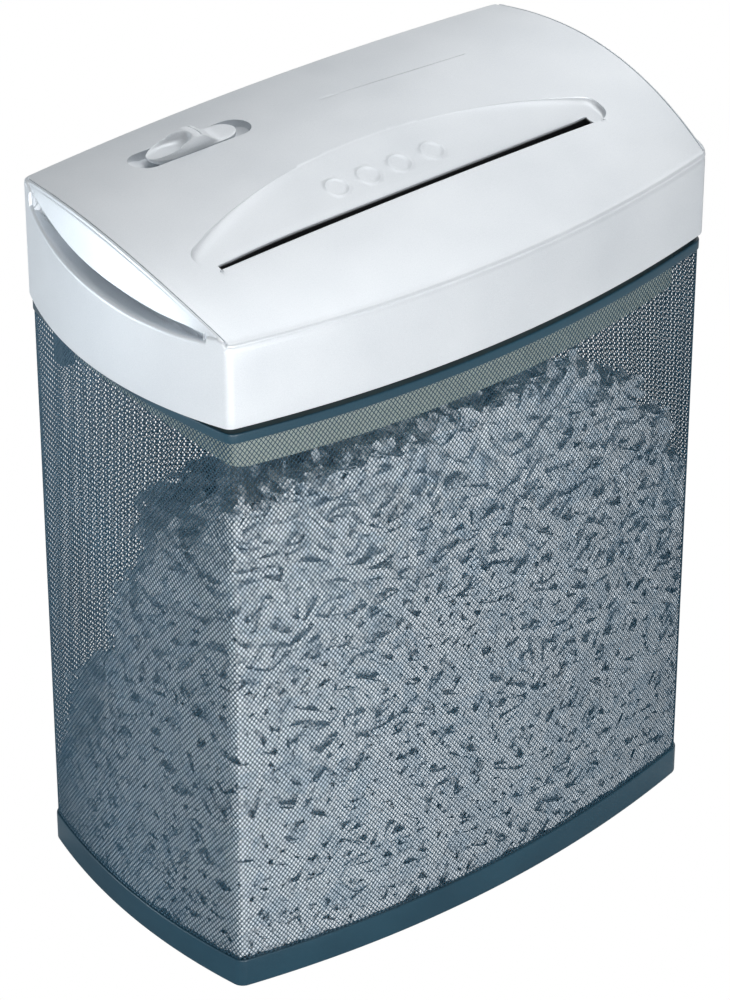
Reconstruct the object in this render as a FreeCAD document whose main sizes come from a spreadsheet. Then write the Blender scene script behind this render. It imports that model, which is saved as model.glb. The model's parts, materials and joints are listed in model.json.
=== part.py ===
"""A desk-side paper shredder: a silver cutting head that lifts off a black mesh bin.

Frame: millimetres, +Z up, +X to the user's right, the front faces -Y.
The origin is on the floor, under the middle of the whole shredder.
Every sub-part is drawn where it sits when the head rests on the bin and the switch is off.
"""
import FreeCAD, Part
import math
import os
import Sketcher
from FreeCAD import Placement, Rotation, Vector

doc = FreeCAD.newDocument("paper_shredder")

# ---------------------------------------------------------------- driving dimensions
SIZES = {
    # head, seen from above: a rectangle of corners whose four sides bow outwards
    "head_width": 292, "head_depth": 161, "head_front_bow": 17.5, "head_back_bow": 8,
    "head_side_bow": 17, "head_corner": 6, "head_bottom": 331, "shell_wall": 2.5,
    # heights of the arched top above the head's bottom
    "front_height": 45, "back_height": 62.5, "arch": 13,
    # finger scoops at both ends
    "end_bow": 7, "shelf_height": 44, "shelf_rise_start": 50, "seam_inset": 1.6, "seam_width": 0.7,
    "seam_deep": 0.9,
    # paper entry
    "entry_x": -5.5, "entry_y": -35.7, "entry_length": 226, "entry_gap": 5, "mouth_gap": 7.2,
    "recess_length": 246, "recess_back": 44, "recess_end": 20, "recess_deep": 5, "recess_round": 8,
    # throat under the entry, with the lever that feels the paper
    "guide_thick": 2.5, "guide_bottom": 351, "guide_top": 381, "lever_y": -26, "lever_z": 372,
    "lever_hub": 3.4, "lever_pin": 1.5, "window_left": -9.5, "window_right": -1.5,
    # slide switch
    "switch_x": -69, "switch_y": 55.75, "well_length": 68, "well_width": 18, "well_floor": 393,
    "slider_length": 48, "slider_width": 16.4, "slider_crest": 6, "stem_slot": 22, "stem_gap": 2.5,
    "stem_size": 4, "stem_bottom": 383.5,
    # bin
    "bin_width": 290, "bin_depth": 159, "bin_front_bow": 17.5, "bin_back_bow": 7, "bin_side_bow": 9.5,
    "bin_corner": 6, "mesh_wall": 0.6, "trim_top": 18, "trim_proud": 0.8, "base_under": 1.5,
    "floor_thick": 3, "rim_bottom": 322.5, "rim_top": 328, "rim_wall": 6, "groove": 3,
    "foot_size": 9, "seam_strip_half": 7, "seam_strip_thick": 0.8,
    # lower housing of the head, which nests inside the bin
    "tray_width": 274, "tray_depth": 143, "tray_bottom": 302, "tray_floor": 304.5, "tray_corner": 10,
    "flange_bottom": 328.3, "tower_top": 344, "tower_size": 4, "tower_well": 3.2, "tower_well_deep": 32,
    "board_post": 3.5, "gland_size": 6.5, "gland_hole": 3.5, "gland_start": 82,
    # screw shanks, as radii
    "casing_screw": 1.5, "board_screw": 1.2, "motor_screw": 1.25,
    # cutting block
    "cutter_setback": 4, "cutter_z": 332, "cutter_spacing": 30, "disc_radius": 17, "disc_pitch": 8,
    "disc_count": 28, "disc_thick": 3.8, "hub_radius": 11, "hex_flats": 12, "journal": 5,
    "comb_gap": 1.3, "comb_thick": 2.2, "comb_half": 12, "finger_gap": 0.4, "finger_half": 5.5,
    "plate_left": -124, "plate_right": 110, "plate_thick": 2, "plate_top": 362, "plate_front": -66,
    "plate_foot": 8, "tie_rod": 3, "tie_rod_nut": 5.5, "nut_thick": 3, "bushing": 8,
    # gear train, as tooth counts and modules
    "sync_teeth": 20, "main_teeth": 40, "second_pinion": 10, "second_wheel": 48, "first_pinion": 12,
    "first_wheel": 50, "motor_pinion": 10,
    # motor
    "motor_y": 52, "motor_radius": 22.5, "motor_length": 64, "motor_wall": 2, "cap_length": 9,
    "magnet_inside": 15.5, "magnet_start": 54, "magnet_length": 46, "magnet_gap": 12,
    "armature": 14.8, "armature_start": 58, "armature_length": 40, "winding_slot": 2.4,
    "commutator": 7, "commutator_start": 46.5, "commutator_length": 8,
}

sheet = doc.addObject("Spreadsheet::Sheet", "dims")
for row, (alias, value) in enumerate(SIZES.items(), 1):
    sheet.set(f"A{row}", alias)
    sheet.set(f"B{row}", str(value))
    sheet.setAlias(f"B{row}", alias)
doc.recompute()


class Dimensions:
    """Reads a size from the sheet by its alias: D.head_width."""

    def __getattr__(self, alias):
        return float(sheet.get(alias))


D = Dimensions()
NODES = []
X_AXIS = Rotation(Vector(0, 1, 0), 90)


def keep(item, label):
    """Mark a document object as a sub-part of the shredder and name it."""
    item.Label = label
    NODES.append(item)
    return item


def bind(item, bindings):
    """Bind properties of an object to spreadsheet expressions."""
    for prop, expression in bindings.items():
        item.setExpression(prop, sized(expression))


def sized(expression):
    """Put the sheet's name before each alias in an expression."""
    if not isinstance(expression, str):
        return str(expression)
    words = sorted(SIZES, key=len, reverse=True)
    out = ""
    at = 0
    while at < len(expression):
        hit = next((w for w in words if expression.startswith(w, at)), None)
        if hit and (at == 0 or not (expression[at - 1].isalnum() or expression[at - 1] == "_")):
            out += "dims." + hit
            at += len(hit)
        else:
            out += expression[at]
            at += 1
    return out


def value_of(expression):
    """The number that an expression over the sheet's sizes comes to."""
    holder = doc.getObject("calculator") or doc.addObject("App::FeaturePython", "calculator")
    if "Result" not in holder.PropertiesList:
        holder.addProperty("App::PropertyFloat", "Result")
    holder.setExpression("Result", sized(expression))
    holder.recompute()
    return holder.Result


# ---------------------------------------------------------------- plain solids
def block(name, low, high):
    """A box from one corner to the opposite one, both given as expressions."""
    item = doc.addObject("Part::Box", name)
    sides = [f"({b}) - ({a})" for a, b in zip(low, high)]
    bind(item, dict(zip(("Length", "Width", "Height"), sides)))
    bind(item, {f"Placement.Base.{axis}": a for axis, a in zip("xyz", low)})
    return item


def rod(name, radius, start, length, along="x"):
    """A round rod from a start point, along +X, +Y or +Z."""
    item = doc.addObject("Part::Cylinder", name)
    turns = {"x": X_AXIS, "y": Rotation(Vector(1, 0, 0), -90), "z": Rotation()}
    item.Placement = Placement(Vector(), turns[along])
    bind(item, {"Radius": radius, "Height": length})
    bind(item, {f"Placement.Base.{axis}": a for axis, a in zip("xyz", start)})
    return item


def cut(name, base, tool):
    item = doc.addObject("Part::Cut", name)
    item.Base = base
    item.Tool = tool
    return item


def fuse(name, shapes):
    item = doc.addObject("Part::MultiFuse", name)
    item.Shapes = shapes
    return item


def group(name, shapes):
    """Separate solids that share one node."""
    item = doc.addObject("Part::Compound", name)
    item.Links = shapes
    return item


def solid(name, shape):
    """A sub-part whose shape is worked out here with Part's own functions."""
    item = doc.addObject("Part::Feature", name)
    item.Shape = shape
    return item


# ---------------------------------------------------------------- bowed outlines
def plane_of(body, role):
    return next(f for f in body.Origin.OriginFeatures if f.Role == role)


def bowed_sketch(body, name, width, depth, bows, inset="0", height="0"):
    """A closed outline of four outward arcs on a level plane, each size an expression.

    The corners lie on a rectangle centred on x = 0 and on the head's own middle in y.
    """
    sketch = body.newObject("Sketcher::SketchObject", name)
    sketch.AttachmentSupport = (plane_of(body, "XY_Plane"), "")
    sketch.MapMode = "FlatFace"
    half_x = f"(({width}) / 2 - ({inset}))"
    half_y = f"(({depth}) / 2 - ({inset}))"
    middle = "((head_front_bow - head_back_bow) / 2)"
    bx, by, my = value_of(half_x), value_of(half_y), value_of(middle)
    front, right, back, left = (value_of(b) for b in bows)
    corners = [Vector(-bx, my - by), Vector(bx, my - by), Vector(bx, my + by), Vector(-bx, my + by)]
    tops = [Vector(0, my - by - front), Vector(bx + right, my), Vector(0, my + by + back),
            Vector(-bx - left, my)]
    for side in range(4):
        edge = Part.Arc(corners[side], tops[side], corners[(side + 1) % 4]).toShape()
        sketch.addGeometry(Part.ArcOfCircle(edge.Curve, edge.FirstParameter, edge.LastParameter), False)
    for side in range(4):
        sketch.addConstraint(Sketcher.Constraint("Coincident", side, 2, (side + 1) % 4, 1))
    places = [(f"-{half_x}", f"{middle} - {half_y}"), (half_x, f"{middle} - {half_y}"),
              (half_x, f"{middle} + {half_y}"), (f"-{half_x}", f"{middle} + {half_y}")]
    for side, (x_place, y_place) in enumerate(places):
        for kind, place in (("DistanceX", x_place), ("DistanceY", y_place)):
            row = sketch.addConstraint(Sketcher.Constraint(kind, -1, 1, side, 1, value_of(place)))
            sketch.setExpression(f"Constraints[{row}]", sized(place))
    halves = (half_x, half_y, half_x, half_y)
    for side, (half, bow) in enumerate(zip(halves, bows)):
        radius = f"({half} * {half} + ({bow}) * ({bow})) / (2 * ({bow}))"
        row = sketch.addConstraint(Sketcher.Constraint("Radius", side, value_of(radius)))
        sketch.setExpression(f"Constraints[{row}]", sized(radius))
    sketch.setExpression("AttachmentOffset.Base.z", sized(height))
    return sketch


HEAD = ("head_width", "head_depth", ("head_front_bow", "head_side_bow", "head_back_bow", "head_side_bow"))
BIN = ("bin_width", "bin_depth", ("bin_front_bow", "bin_side_bow", "bin_back_bow", "bin_side_bow"))
TRAY = ("tray_width", "tray_depth", ("bin_front_bow", "bin_side_bow", "5", "1"))


def pad(body, sketch, length):
    item = body.newObject("PartDesign::Pad", f"{body.Name}_pad")
    item.Profile = sketch
    item.setExpression("Length", sized(length))
    body.Tip = item
    return item


def pocket(body, sketch, depth):
    """Cut downwards from the sketch's plane."""
    item = body.newObject("PartDesign::Pocket", f"{body.Name}_pocket")
    item.Profile = sketch
    item.setExpression("Length", sized(depth))
    body.Tip = item
    return item


def round_corners(body, radius):
    """Round every edge of the body's tip that stands upright."""
    doc.recompute()
    base = body.Tip
    upright = []
    for number, edge in enumerate(base.Shape.Edges, 1):
        ends = [v.Point for v in edge.Vertexes]
        if len(ends) == 2 and (ends[0] - ends[1]).cross(Vector(0, 0, 1)).Length < 1e-6:
            upright.append(f"Edge{number}")
    item = body.newObject("PartDesign::Fillet", f"{body.Name}_fillet")
    item.Base = (base, upright)
    item.setExpression("Radius", sized(radius))
    body.Tip = item
    return item


def bowed_body(name, outline, bottom, top, inset="0", corner="head_corner"):
    """A solid prism over a bowed outline."""
    body = doc.addObject("PartDesign::Body", name)
    sketch = bowed_sketch(body, f"{name}_outline", *outline, inset=inset, height=bottom)
    pad(body, sketch, f"({top}) - ({bottom})")
    round_corners(body, corner)
    return body


# ---------------------------------------------------------------- the arched top
def panel_height(x, y, lower=0.0):
    """Height of the arched top at a point, less an offset."""
    middle = (D.head_front_bow - D.head_back_bow) / 2
    across = 1 - (2 * x / D.head_width) ** 2
    front = middle - D.head_depth / 2 - D.head_front_bow * across
    back = middle + D.head_depth / 2 + D.head_back_bow * across
    share = (y - front) / (back - front)
    rise = D.front_height + (D.back_height - D.front_height) * share + 4 * D.arch * share * (1 - share)
    return D.head_bottom + rise - lower


def above_panel(lower=0.0, reach=190.0, side=120.0):
    """The space above the arched top, as one solid, with the top's surface as its floor."""
    rows = []
    for step_y in range(-5, 6):
        y = side * step_y / 5
        rows.append([Vector(x, y, panel_height(x, y, lower)) for x in
                     (reach * step_x / 6 for step_x in range(-6, 7))])
    surface = Part.BSplineSurface()
    surface.interpolate(rows)
    return surface.toShape().extrude(Vector(0, 0, 120))


def end_arc_plan(sign, bow, outer, shift=0.0):
    """The plan area outside a panel end's arc, out to a straight line."""
    middle = (D.head_front_bow - D.head_back_bow) / 2
    half = D.head_depth / 2
    edge = D.head_width / 2 - shift
    front = Vector(sign * edge, middle - half, 0)
    back = Vector(sign * edge, middle + half, 0)
    top = Vector(sign * (edge + bow), middle, 0)
    arc = Part.Arc(front, top, back).toShape()
    far = sign * outer
    tail = Part.makePolygon([back, Vector(sign * edge, middle + half + 20, 0),
                             Vector(far, middle + half + 20, 0), Vector(far, middle - half - 20, 0),
                             Vector(sign * edge, middle - half - 20, 0), front])
    return Part.Face(Part.Wire([arc] + tail.Edges))


def above_shelf(lower=0.0):
    """Everything over the end shelves: level, then curving up towards the back corner."""
    middle = (D.head_front_bow - D.head_back_bow) / 2
    level = D.head_bottom + D.shelf_height - lower
    start = Vector(0, D.shelf_rise_start, level)
    run = middle + D.head_depth / 2 - D.shelf_rise_start
    rise = D.back_height - D.shelf_height
    radius = (run * run + rise * rise) / (2 * rise)
    turn = math.asin(run / radius)
    half_way = Vector(0, D.shelf_rise_start + radius * math.sin(turn / 2),
                      level + radius * (1 - math.cos(turn / 2)))
    end = Vector(0, D.shelf_rise_start + run, level + rise)
    curve = Part.Arc(start, half_way, end).toShape()
    rest = Part.makePolygon([end, Vector(0, 140, end.z), Vector(0, 140, 440), Vector(0, -140, 440),
                             Vector(0, -140, level), start])
    face = Part.Face(Part.Wire([curve] + rest.Edges))
    face.translate(Vector(-220, 0, 0))
    return face.extrude(Vector(440, 0, 0))


def end_scoop(sign, lower=0.0):
    """What the finger scoop removes at one end; lower thickens what is left inside."""
    plan = end_arc_plan(sign, D.end_bow, 200, lower)
    return plan.extrude(Vector(0, 0, 500)).common(above_shelf(lower))


def seam_groove(sign):
    """The narrow groove along the end of the panel."""
    wide = end_arc_plan(sign, D.end_bow, 200, D.seam_inset + D.seam_width)
    narrow = end_arc_plan(sign, D.end_bow, 205, D.seam_inset)
    strip = wide.extrude(Vector(0, 0, 500)).cut(narrow.extrude(Vector(0, 0, 500)))
    return strip.common(above_panel(D.seam_deep))


def entry_recess(grow=0.0):
    """The boat-shaped hollow behind the paper entry: straight in front, bowed at the back.

    grow moves its sides and its floor outwards, for the wall that is left under it.
    """
    lip = D.entry_y - D.entry_gap / 2
    half = D.recess_length / 2 + grow
    left = Vector(D.entry_x - half, lip - grow, 0)
    right = Vector(D.entry_x + half, lip - grow, 0)
    end = Vector(0, D.recess_end + grow, 0)
    apex = Vector(D.entry_x, lip + D.recess_back + grow, 0)
    back = Part.Arc(right + end, apex, left + end).toShape()
    sides = Part.makePolygon([left + end, left, right, right + end])
    plan = Part.Face(Part.Wire([back] + sides.Edges))
    prism = plan.extrude(Vector(0, 0, ABOVE_ALL))
    corners = [e for e in prism.Edges if abs(e.Vertexes[0].X - e.Vertexes[-1].X) < 1e-6
               and abs(e.Vertexes[0].Y - e.Vertexes[-1].Y) < 1e-6 and len(e.Vertexes) == 2]
    prism = prism.makeFillet(D.recess_round + grow, corners)
    low = panel_height(D.entry_x, lip) - D.recess_deep
    high = panel_height(D.entry_x, lip + D.recess_back)
    slope = (high - low) / D.recess_back
    lowered = grow * math.sqrt(1 + slope * slope)
    floor = [Vector(0, y, low + slope * (y - lip) - lowered) for y in (lip - grow, apex.y)]
    over = [Vector(0, y, ABOVE_ALL) for y in (apex.y, lip - grow)]
    wedge = Part.Face(Part.makePolygon([*floor, *over, floor[0]]))
    wedge.translate(Vector(-D.head_width, 0, 0))
    return prism.common(wedge.extrude(Vector(2 * D.head_width, 0, 0)))


def stadium(x, y, length, width, bottom, top):
    """A prism with round ends, long in x."""
    radius = width / 2
    run = length / 2 - radius
    left, right = x - run, x + run
    ends = [Part.Arc(Vector(right, y - radius, bottom), Vector(right + radius, y, bottom),
                     Vector(right, y + radius, bottom)).toShape(),
            Part.Arc(Vector(left, y + radius, bottom), Vector(left - radius, y, bottom),
                     Vector(left, y - radius, bottom)).toShape()]
    sides = [Part.makeLine(Vector(right, y + radius, bottom), Vector(left, y + radius, bottom)),
             Part.makeLine(Vector(left, y - radius, bottom), Vector(right, y - radius, bottom))]
    wire = Part.Wire([ends[0], sides[0], ends[1], sides[1]])
    return Part.Face(wire).extrude(Vector(0, 0, top - bottom))


def carve(name, base, tools):
    """Cut one tool after another from a base object."""
    for number, tool in enumerate(tools, 1):
        base = cut(f"{name}_{number}", base, tool)
    return base


# ---------------------------------------------------------------- places worked out once
MIDDLE = (D.head_front_bow - D.head_back_bow) / 2
FRONT_Y = "(entry_y + cutter_setback - cutter_spacing / 2)"
REAR_Y = "(entry_y + cutter_setback + cutter_spacing / 2)"
TOWERS = [(-60, -75), (60, -75), (-60, 77), (24, 77)]
BOARD_POSTS = [(-106, 31), (-28, 31), (-106, 65), (-28, 65)]
ROD_PLACES = [(-60, 356), (-12, 356), (14, 316)]
BOARD_Z, BOARD_THICK = 352, 1.6
SCREW_DEPTH = 8
PLUNGER_X, PLUNGER_Y = -143.8, 60
PLUNGER_RADIUS = 2.5
OUTLET = (-62, -2)
GLAND_X, GLAND_Z = -100, 345
ABOVE_ALL = 440
MODULES = {"sync": 1.5, "third": 1.25, "second": 0.8, "first": 0.7}
PLANE_FIRST = (115.5, 119.5)
PLANE_SECOND = (120.5, 125)
PLANE_THIRD = (126, 134)
COVER_X, COVER_THICK = 135, 2
AXLE_RADIUS = 2.5
MOTOR_SHAFT_RADIUS = 2
RUNNING_GAP = 0.05
SWITCH_RIGHT, SWITCH_Y, SWITCH_TOP = -138, (54, 66), 358
BRACKET_THICK = 2.6


def along(start, distance, degrees):
    """A point at a distance and an angle from another, in the Y-Z plane."""
    turn = math.radians(degrees)
    return (start[0] + distance * math.cos(turn), start[1] + distance * math.sin(turn))


NIP_Y = D.entry_y + D.cutter_setback
FRONT_AXIS = (NIP_Y - D.cutter_spacing / 2, D.cutter_z)
REAR_AXIS = (NIP_Y + D.cutter_spacing / 2, D.cutter_z)
SECOND_ANGLE = 28.4
FIRST_ANGLE = -23.6
SECOND_AXIS = along(REAR_AXIS, MODULES["third"] * (D.main_teeth + D.second_pinion) / 2, SECOND_ANGLE)
FIRST_AXIS = along(SECOND_AXIS, MODULES["second"] * (D.second_wheel + D.first_pinion) / 2, FIRST_ANGLE)
MOTOR_REACH = MODULES["first"] * (D.first_wheel + D.motor_pinion) / 2
MOTOR_ANGLE = math.degrees(math.acos((D.motor_y - FIRST_AXIS[0]) / MOTOR_REACH))
MOTOR_AXIS = along(FIRST_AXIS, MOTOR_REACH, MOTOR_ANGLE)


# ---------------------------------------------------------------- bin
def bin_base():
    body = bowed_body("base_body", BIN, "base_under", "trim_top", inset="-trim_proud",
                      corner="bin_corner + trim_proud")
    inside = bowed_sketch(body, "base_inside", *BIN, inset="mesh_wall + 1.5", height="trim_top")
    pocket(body, inside, "trim_top - base_under - floor_thick")
    outer = bowed_body("base_groove_outer", BIN, "trim_top - groove", "trim_top + 1", corner="bin_corner")
    inner = bowed_body("base_groove_inner", BIN, "trim_top - groove", "trim_top + 1", inset="mesh_wall",
                       corner="bin_corner - mesh_wall")
    tools = [cut("base_groove", outer, inner)]
    tools += [rod(f"foot_seat_{n}", "foot_size", (x, y, "base_under"), "1.5", "z")
              for n, (x, y) in enumerate(FEET)]
    keep(carve("bin_base", body, tools), "bin_base")


FEET = [(-118, -58), (118, -58), (-118, 66), (118, 66)]


def bin_feet():
    pads = [rod(f"foot_{n}", "foot_size", (x, y, "0"), "base_under + 1.5", "z")
            for n, (x, y) in enumerate(FEET)]
    keep(group("feet", pads), "bin_feet")


def mesh_wall():
    body = bowed_body("wall_body", BIN, "trim_top - groove", "rim_bottom + groove", corner="bin_corner")
    inside = bowed_body("wall_inside", BIN, "trim_top - groove - 1", "rim_bottom + groove + 1",
                        inset="mesh_wall", corner="bin_corner - mesh_wall")
    keep(cut("wall", body, inside), "mesh_wall")


def mesh_seam_strip():
    """The flat strip that covers the joint of the wrapped mesh, behind the bin."""
    back = f"{MIDDLE} + bin_depth / 2 + bin_back_bow"
    keep(block("seam_strip", ("-seam_strip_half", back, "trim_top"),
               ("seam_strip_half", f"{back} + seam_strip_thick", "rim_bottom")),
         "mesh_seam_strip")


def bin_rim():
    outer = bowed_body("rim_outer", BIN, "rim_bottom", "rim_top", inset="-0.6", corner="bin_corner + 0.6")
    inner = bowed_body("rim_inner", BIN, "rim_bottom - 1", "rim_top + 1", inset="rim_wall", corner="2")
    groove_outer = bowed_body("rim_groove_outer", BIN, "rim_bottom - 1", "rim_bottom + groove",
                              corner="bin_corner")
    groove_inner = bowed_body("rim_groove_inner", BIN, "rim_bottom - 1", "rim_bottom + groove",
                              inset="mesh_wall", corner="bin_corner - mesh_wall")
    groove = cut("rim_groove", groove_outer, groove_inner)
    ring = cut("rim_ring", outer, inner)
    keep(cut("rim", ring, groove), "bin_rim")
    return ring


def interlock_tab(ring):
    """The tongue under the bin's rim that lifts the head's safety plunger."""
    tongue = block("tab_tongue", (f"{PLUNGER_X} - 3", f"{PLUNGER_Y} - 4", "rim_bottom - 20"),
                   (f"{PLUNGER_X} + 3", f"{PLUNGER_Y} + 4", "rim_top"))
    keep(cut("tab", tongue, ring), "interlock_tab")


# ---------------------------------------------------------------- head casing
def top_housing():
    outer = bowed_body("head_outer", HEAD, "head_bottom", ABOVE_ALL)
    inner = bowed_body("head_inner", HEAD, "head_bottom - 5", ABOVE_ALL, inset="shell_wall",
                       corner="head_corner - shell_wall")
    well = stadium(D.switch_x, D.switch_y, D.well_length, D.well_width, D.well_floor, ABOVE_ALL)
    wall = D.shell_wall
    under_well = stadium(D.switch_x, D.switch_y, D.well_length + 2 * wall, D.well_width + 2 * wall,
                         D.well_floor - wall, ABOVE_ALL)
    outside = [("panel_space", above_panel()), ("scoop_left", end_scoop(-1)), ("scoop_right", end_scoop(1)),
               ("seam_left", seam_groove(-1)), ("seam_right", seam_groove(1)),
               ("recess", entry_recess()), ("well", well)]
    inside = [("panel_under", above_panel(wall)), ("shelf_left", end_scoop(-1, wall)),
              ("shelf_right", end_scoop(1, wall)), ("recess_under", entry_recess(wall)),
              ("well_under", under_well)]
    carved = carve("head_block", outer, [solid(n, s) for n, s in outside])
    hollow = carve("head_hollow", inner, [solid(n, s) for n, s in inside])
    shell = cut("head_shell", carved, hollow)
    bosses = []
    for number, (x, y) in enumerate(TOWERS):
        top = panel_height(x, y, wall / 2)
        bosses.append(rod(f"boss_{number}", "tower_size", (x, y, "tower_top"), f"{top} - tower_top", "z"))
    shell = fuse("head_with_bosses", [shell] + bosses)
    mouth_front = "entry_y - entry_gap / 2"
    slot = block("entry_slot", ("entry_x - entry_length / 2", mouth_front, "guide_top - 11"),
                 ("entry_x + entry_length / 2", f"{mouth_front} + mouth_gap", ABOVE_ALL))
    stem_slot = block("stem_slot", ("switch_x - stem_slot / 2", "switch_y - stem_gap", "well_floor - 8"),
                      ("switch_x + stem_slot / 2", "switch_y + stem_gap", ABOVE_ALL))
    gland_hole = rod("gland_hole", "gland_size", (GLAND_X, "gland_start - 2", GLAND_Z), "20", "y")
    holes = [rod(f"boss_hole_{n}", "casing_screw", (x, y, "tower_top"), "10", "z")
             for n, (x, y) in enumerate(TOWERS)]
    keep(carve("housing", shell, [slot, stem_slot, gland_hole] + holes), "top_housing")


def lower_housing():
    body = bowed_body("tray_body", TRAY, "tray_bottom", "head_bottom", corner="tray_corner")
    flange = bowed_body("tray_flange", BIN, "flange_bottom", "head_bottom", inset="3", corner="3")
    inside = bowed_body("tray_inside", TRAY, "tray_floor", "head_bottom + 1", inset="shell_wall",
                        corner="tray_corner - shell_wall")
    outlet = block("outlet", ("plate_left + 3", OUTLET[0], "tray_bottom - 1"),
                   ("plate_right - 1.5", OUTLET[1], "tray_floor + 1"))
    plunger_hole = rod("plunger_hole", PLUNGER_RADIUS + 0.1, (PLUNGER_X, PLUNGER_Y, "flange_bottom - 1"),
                       "5", "z")
    tray = carve("tray", fuse("tray_whole", [body, flange]), [inside, outlet, plunger_hole])
    towers = [rod(f"tower_{n}", "tower_size", (x, y, "tray_bottom"), "tower_top - tray_bottom", "z")
              for n, (x, y) in enumerate(TOWERS)]
    posts = [rod(f"board_post_{n}", "board_post", (x, y, "tray_bottom"), f"{BOARD_Z} - tray_bottom", "z")
             for n, (x, y) in enumerate(BOARD_POSTS)]
    bracket = block("switch_bracket", (SWITCH_RIGHT, SWITCH_Y[0], "flange_bottom"),
                    (SWITCH_RIGHT + BRACKET_THICK, SWITCH_Y[1], SWITCH_TOP))
    whole = fuse("tray_with_posts", [tray, bracket] + towers + posts)
    tools = []
    for number, (x, y) in enumerate(TOWERS):
        tools.append(rod(f"screw_well_{number}", "tower_well", (x, y, "tray_bottom - 1"),
                         "tower_well_deep + 1", "z"))
        tools.append(rod(f"screw_hole_{number}", "casing_screw", (x, y, "tray_bottom"), "50", "z"))
    tools += [rod(f"post_hole_{n}", "board_screw", (x, y, f"{BOARD_Z} - 7"), "8", "z")
              for n, (x, y) in enumerate(BOARD_POSTS)]
    tools += [rod(f"foot_hole_{n}", "casing_screw", (x, y, "tray_floor - 2"), "3", "z")
              for n, (x, y) in enumerate(FRAME_SCREWS)]
    keep(carve("lower", whole, tools), "lower_housing")


FRAME_SCREWS = [(-128, -22), (-128, 8), (116, 62), (116, -60)]


def cord_gland():
    sleeve = rod("gland_sleeve", "gland_size", (GLAND_X, "gland_start", GLAND_Z), "10.5", "y")
    bore = rod("gland_bore", "gland_hole", (GLAND_X, "gland_start - 1", GLAND_Z), "13", "y")
    keep(cut("gland", sleeve, bore), "cord_gland")


# ---------------------------------------------------------------- cutting block
STACK_START = {"front": -119.5, "rear": -115.5}
AXES = {"front": FRONT_AXIS, "rear": REAR_AXIS}
AXIS_Y = {"front": FRONT_Y, "rear": REAR_Y}
HOOKS = 3
HOOK_TURN = 17
NOTCH_DEEP, NOTCH_WIDE = 3, 4.5


def disc_solid(x, axis, turn):
    """One cutting disc with its spacer hub: a hooked rim on a hexagonal bore."""
    y, z = axis
    disc = Part.makeCylinder(D.disc_radius, D.disc_thick, Vector(x, y, z), Vector(1, 0, 0))
    hub = Part.makeCylinder(D.hub_radius, D.disc_pitch, Vector(x, y, z), Vector(1, 0, 0))
    bore = hexagon(x - 1, axis, D.disc_pitch + 2)
    shape = disc.fuse(hub).cut(bore)
    low, high = D.disc_radius - NOTCH_DEEP, D.disc_radius + 1
    for hook in range(HOOKS):
        angle = turn + 360 / HOOKS * hook
        notch = Part.makePolygon([Vector(0, low, 0), Vector(0, high, 0), Vector(0, high, NOTCH_WIDE),
                                  Vector(0, low, 0)])
        tool = Part.Face(notch).extrude(Vector(D.disc_thick + 2, 0, 0))
        tool.rotate(Vector(), Vector(1, 0, 0), angle)
        tool.translate(Vector(x - 1, y, z))
        shape = shape.cut(tool)
    return shape


def hexagon(x, axis, length):
    """A hexagonal bar along +X."""
    radius = D.hex_flats / math.sqrt(3)
    points = []
    for corner in range(7):
        angle = math.radians(60 * corner)
        points.append(Vector(x, axis[0] + radius * math.cos(angle), axis[1] + radius * math.sin(angle)))
    return Part.Face(Part.makePolygon(points)).extrude(Vector(length, 0, 0))


def cutter(side, shaft_end):
    """A shaft with its round journals, and the stack of discs on it."""
    axis = AXES[side]
    start = STACK_START[side]
    count = int(D.disc_count)
    bar = doc.addObject("Part::Prism", f"hex_{side}")
    bar.Polygon = 6
    bar.Placement = Placement(Vector(), Rotation(Vector(1, 0, 0), 90) * X_AXIS)
    bind(bar, {"Circumradius": "hex_flats / sqrt(3)", "Height": "disc_pitch * disc_count",
               "Placement.Base.x": start, "Placement.Base.y": AXIS_Y[side], "Placement.Base.z": "cutter_z"})
    journal = rod(f"journal_{side}", "journal", ("plate_left - 6", AXIS_Y[side], "cutter_z"),
                  f"{shaft_end} - plate_left + 6")
    keep(fuse(f"shaft_{side}", [bar, journal]), f"cutter_shaft_{side}")
    discs = [disc_solid(start + D.disc_pitch * n, axis, HOOK_TURN * n) for n in range(count)]
    keep(solid(f"discs_{side}", Part.makeCompound(discs)), f"cutter_discs_{side}")


def stripper_comb(side):
    """A bar with one finger in each gap between two discs of a shaft."""
    sign = -1 if side == "front" else 1
    outer = AXES[side][0] + sign * (D.disc_radius + D.comb_gap + D.comb_thick)
    inner = AXES[side][0] + sign * (D.disc_radius + D.comb_gap)
    low, high = min(outer, inner), max(outer, inner)
    start = STACK_START[side]
    bar = block(f"comb_bar_{side}", ("plate_left + plate_thick", low, "cutter_z - comb_half"),
                ("plate_right", high, "cutter_z + comb_half"))
    finger_end = AXES[side][0] + sign * (D.hub_radius - 3)
    near, away = min(finger_end, outer), max(finger_end, outer)
    thick = D.disc_pitch - D.disc_thick - 2 * D.finger_gap
    first = start + D.disc_thick + D.finger_gap
    fingers = [Part.makeBox(thick, away - near, 2 * D.finger_half,
                            Vector(first + D.disc_pitch * n, near, D.cutter_z - D.finger_half))
               for n in range(int(D.disc_count))]
    hub_space = Part.makeCylinder(D.hub_radius + D.finger_gap, D.head_width,
                                  Vector(-D.head_width / 2, AXES[side][0], D.cutter_z), Vector(1, 0, 0))
    fingers = [f.cut(hub_space) for f in fingers]
    teeth = solid(f"comb_fingers_{side}", Part.makeCompound(fingers))
    keep(fuse(f"comb_{side}", [bar, teeth]), f"stripper_comb_{side}")


PLATE_BACK = {"left": 22, "right": 74}


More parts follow.
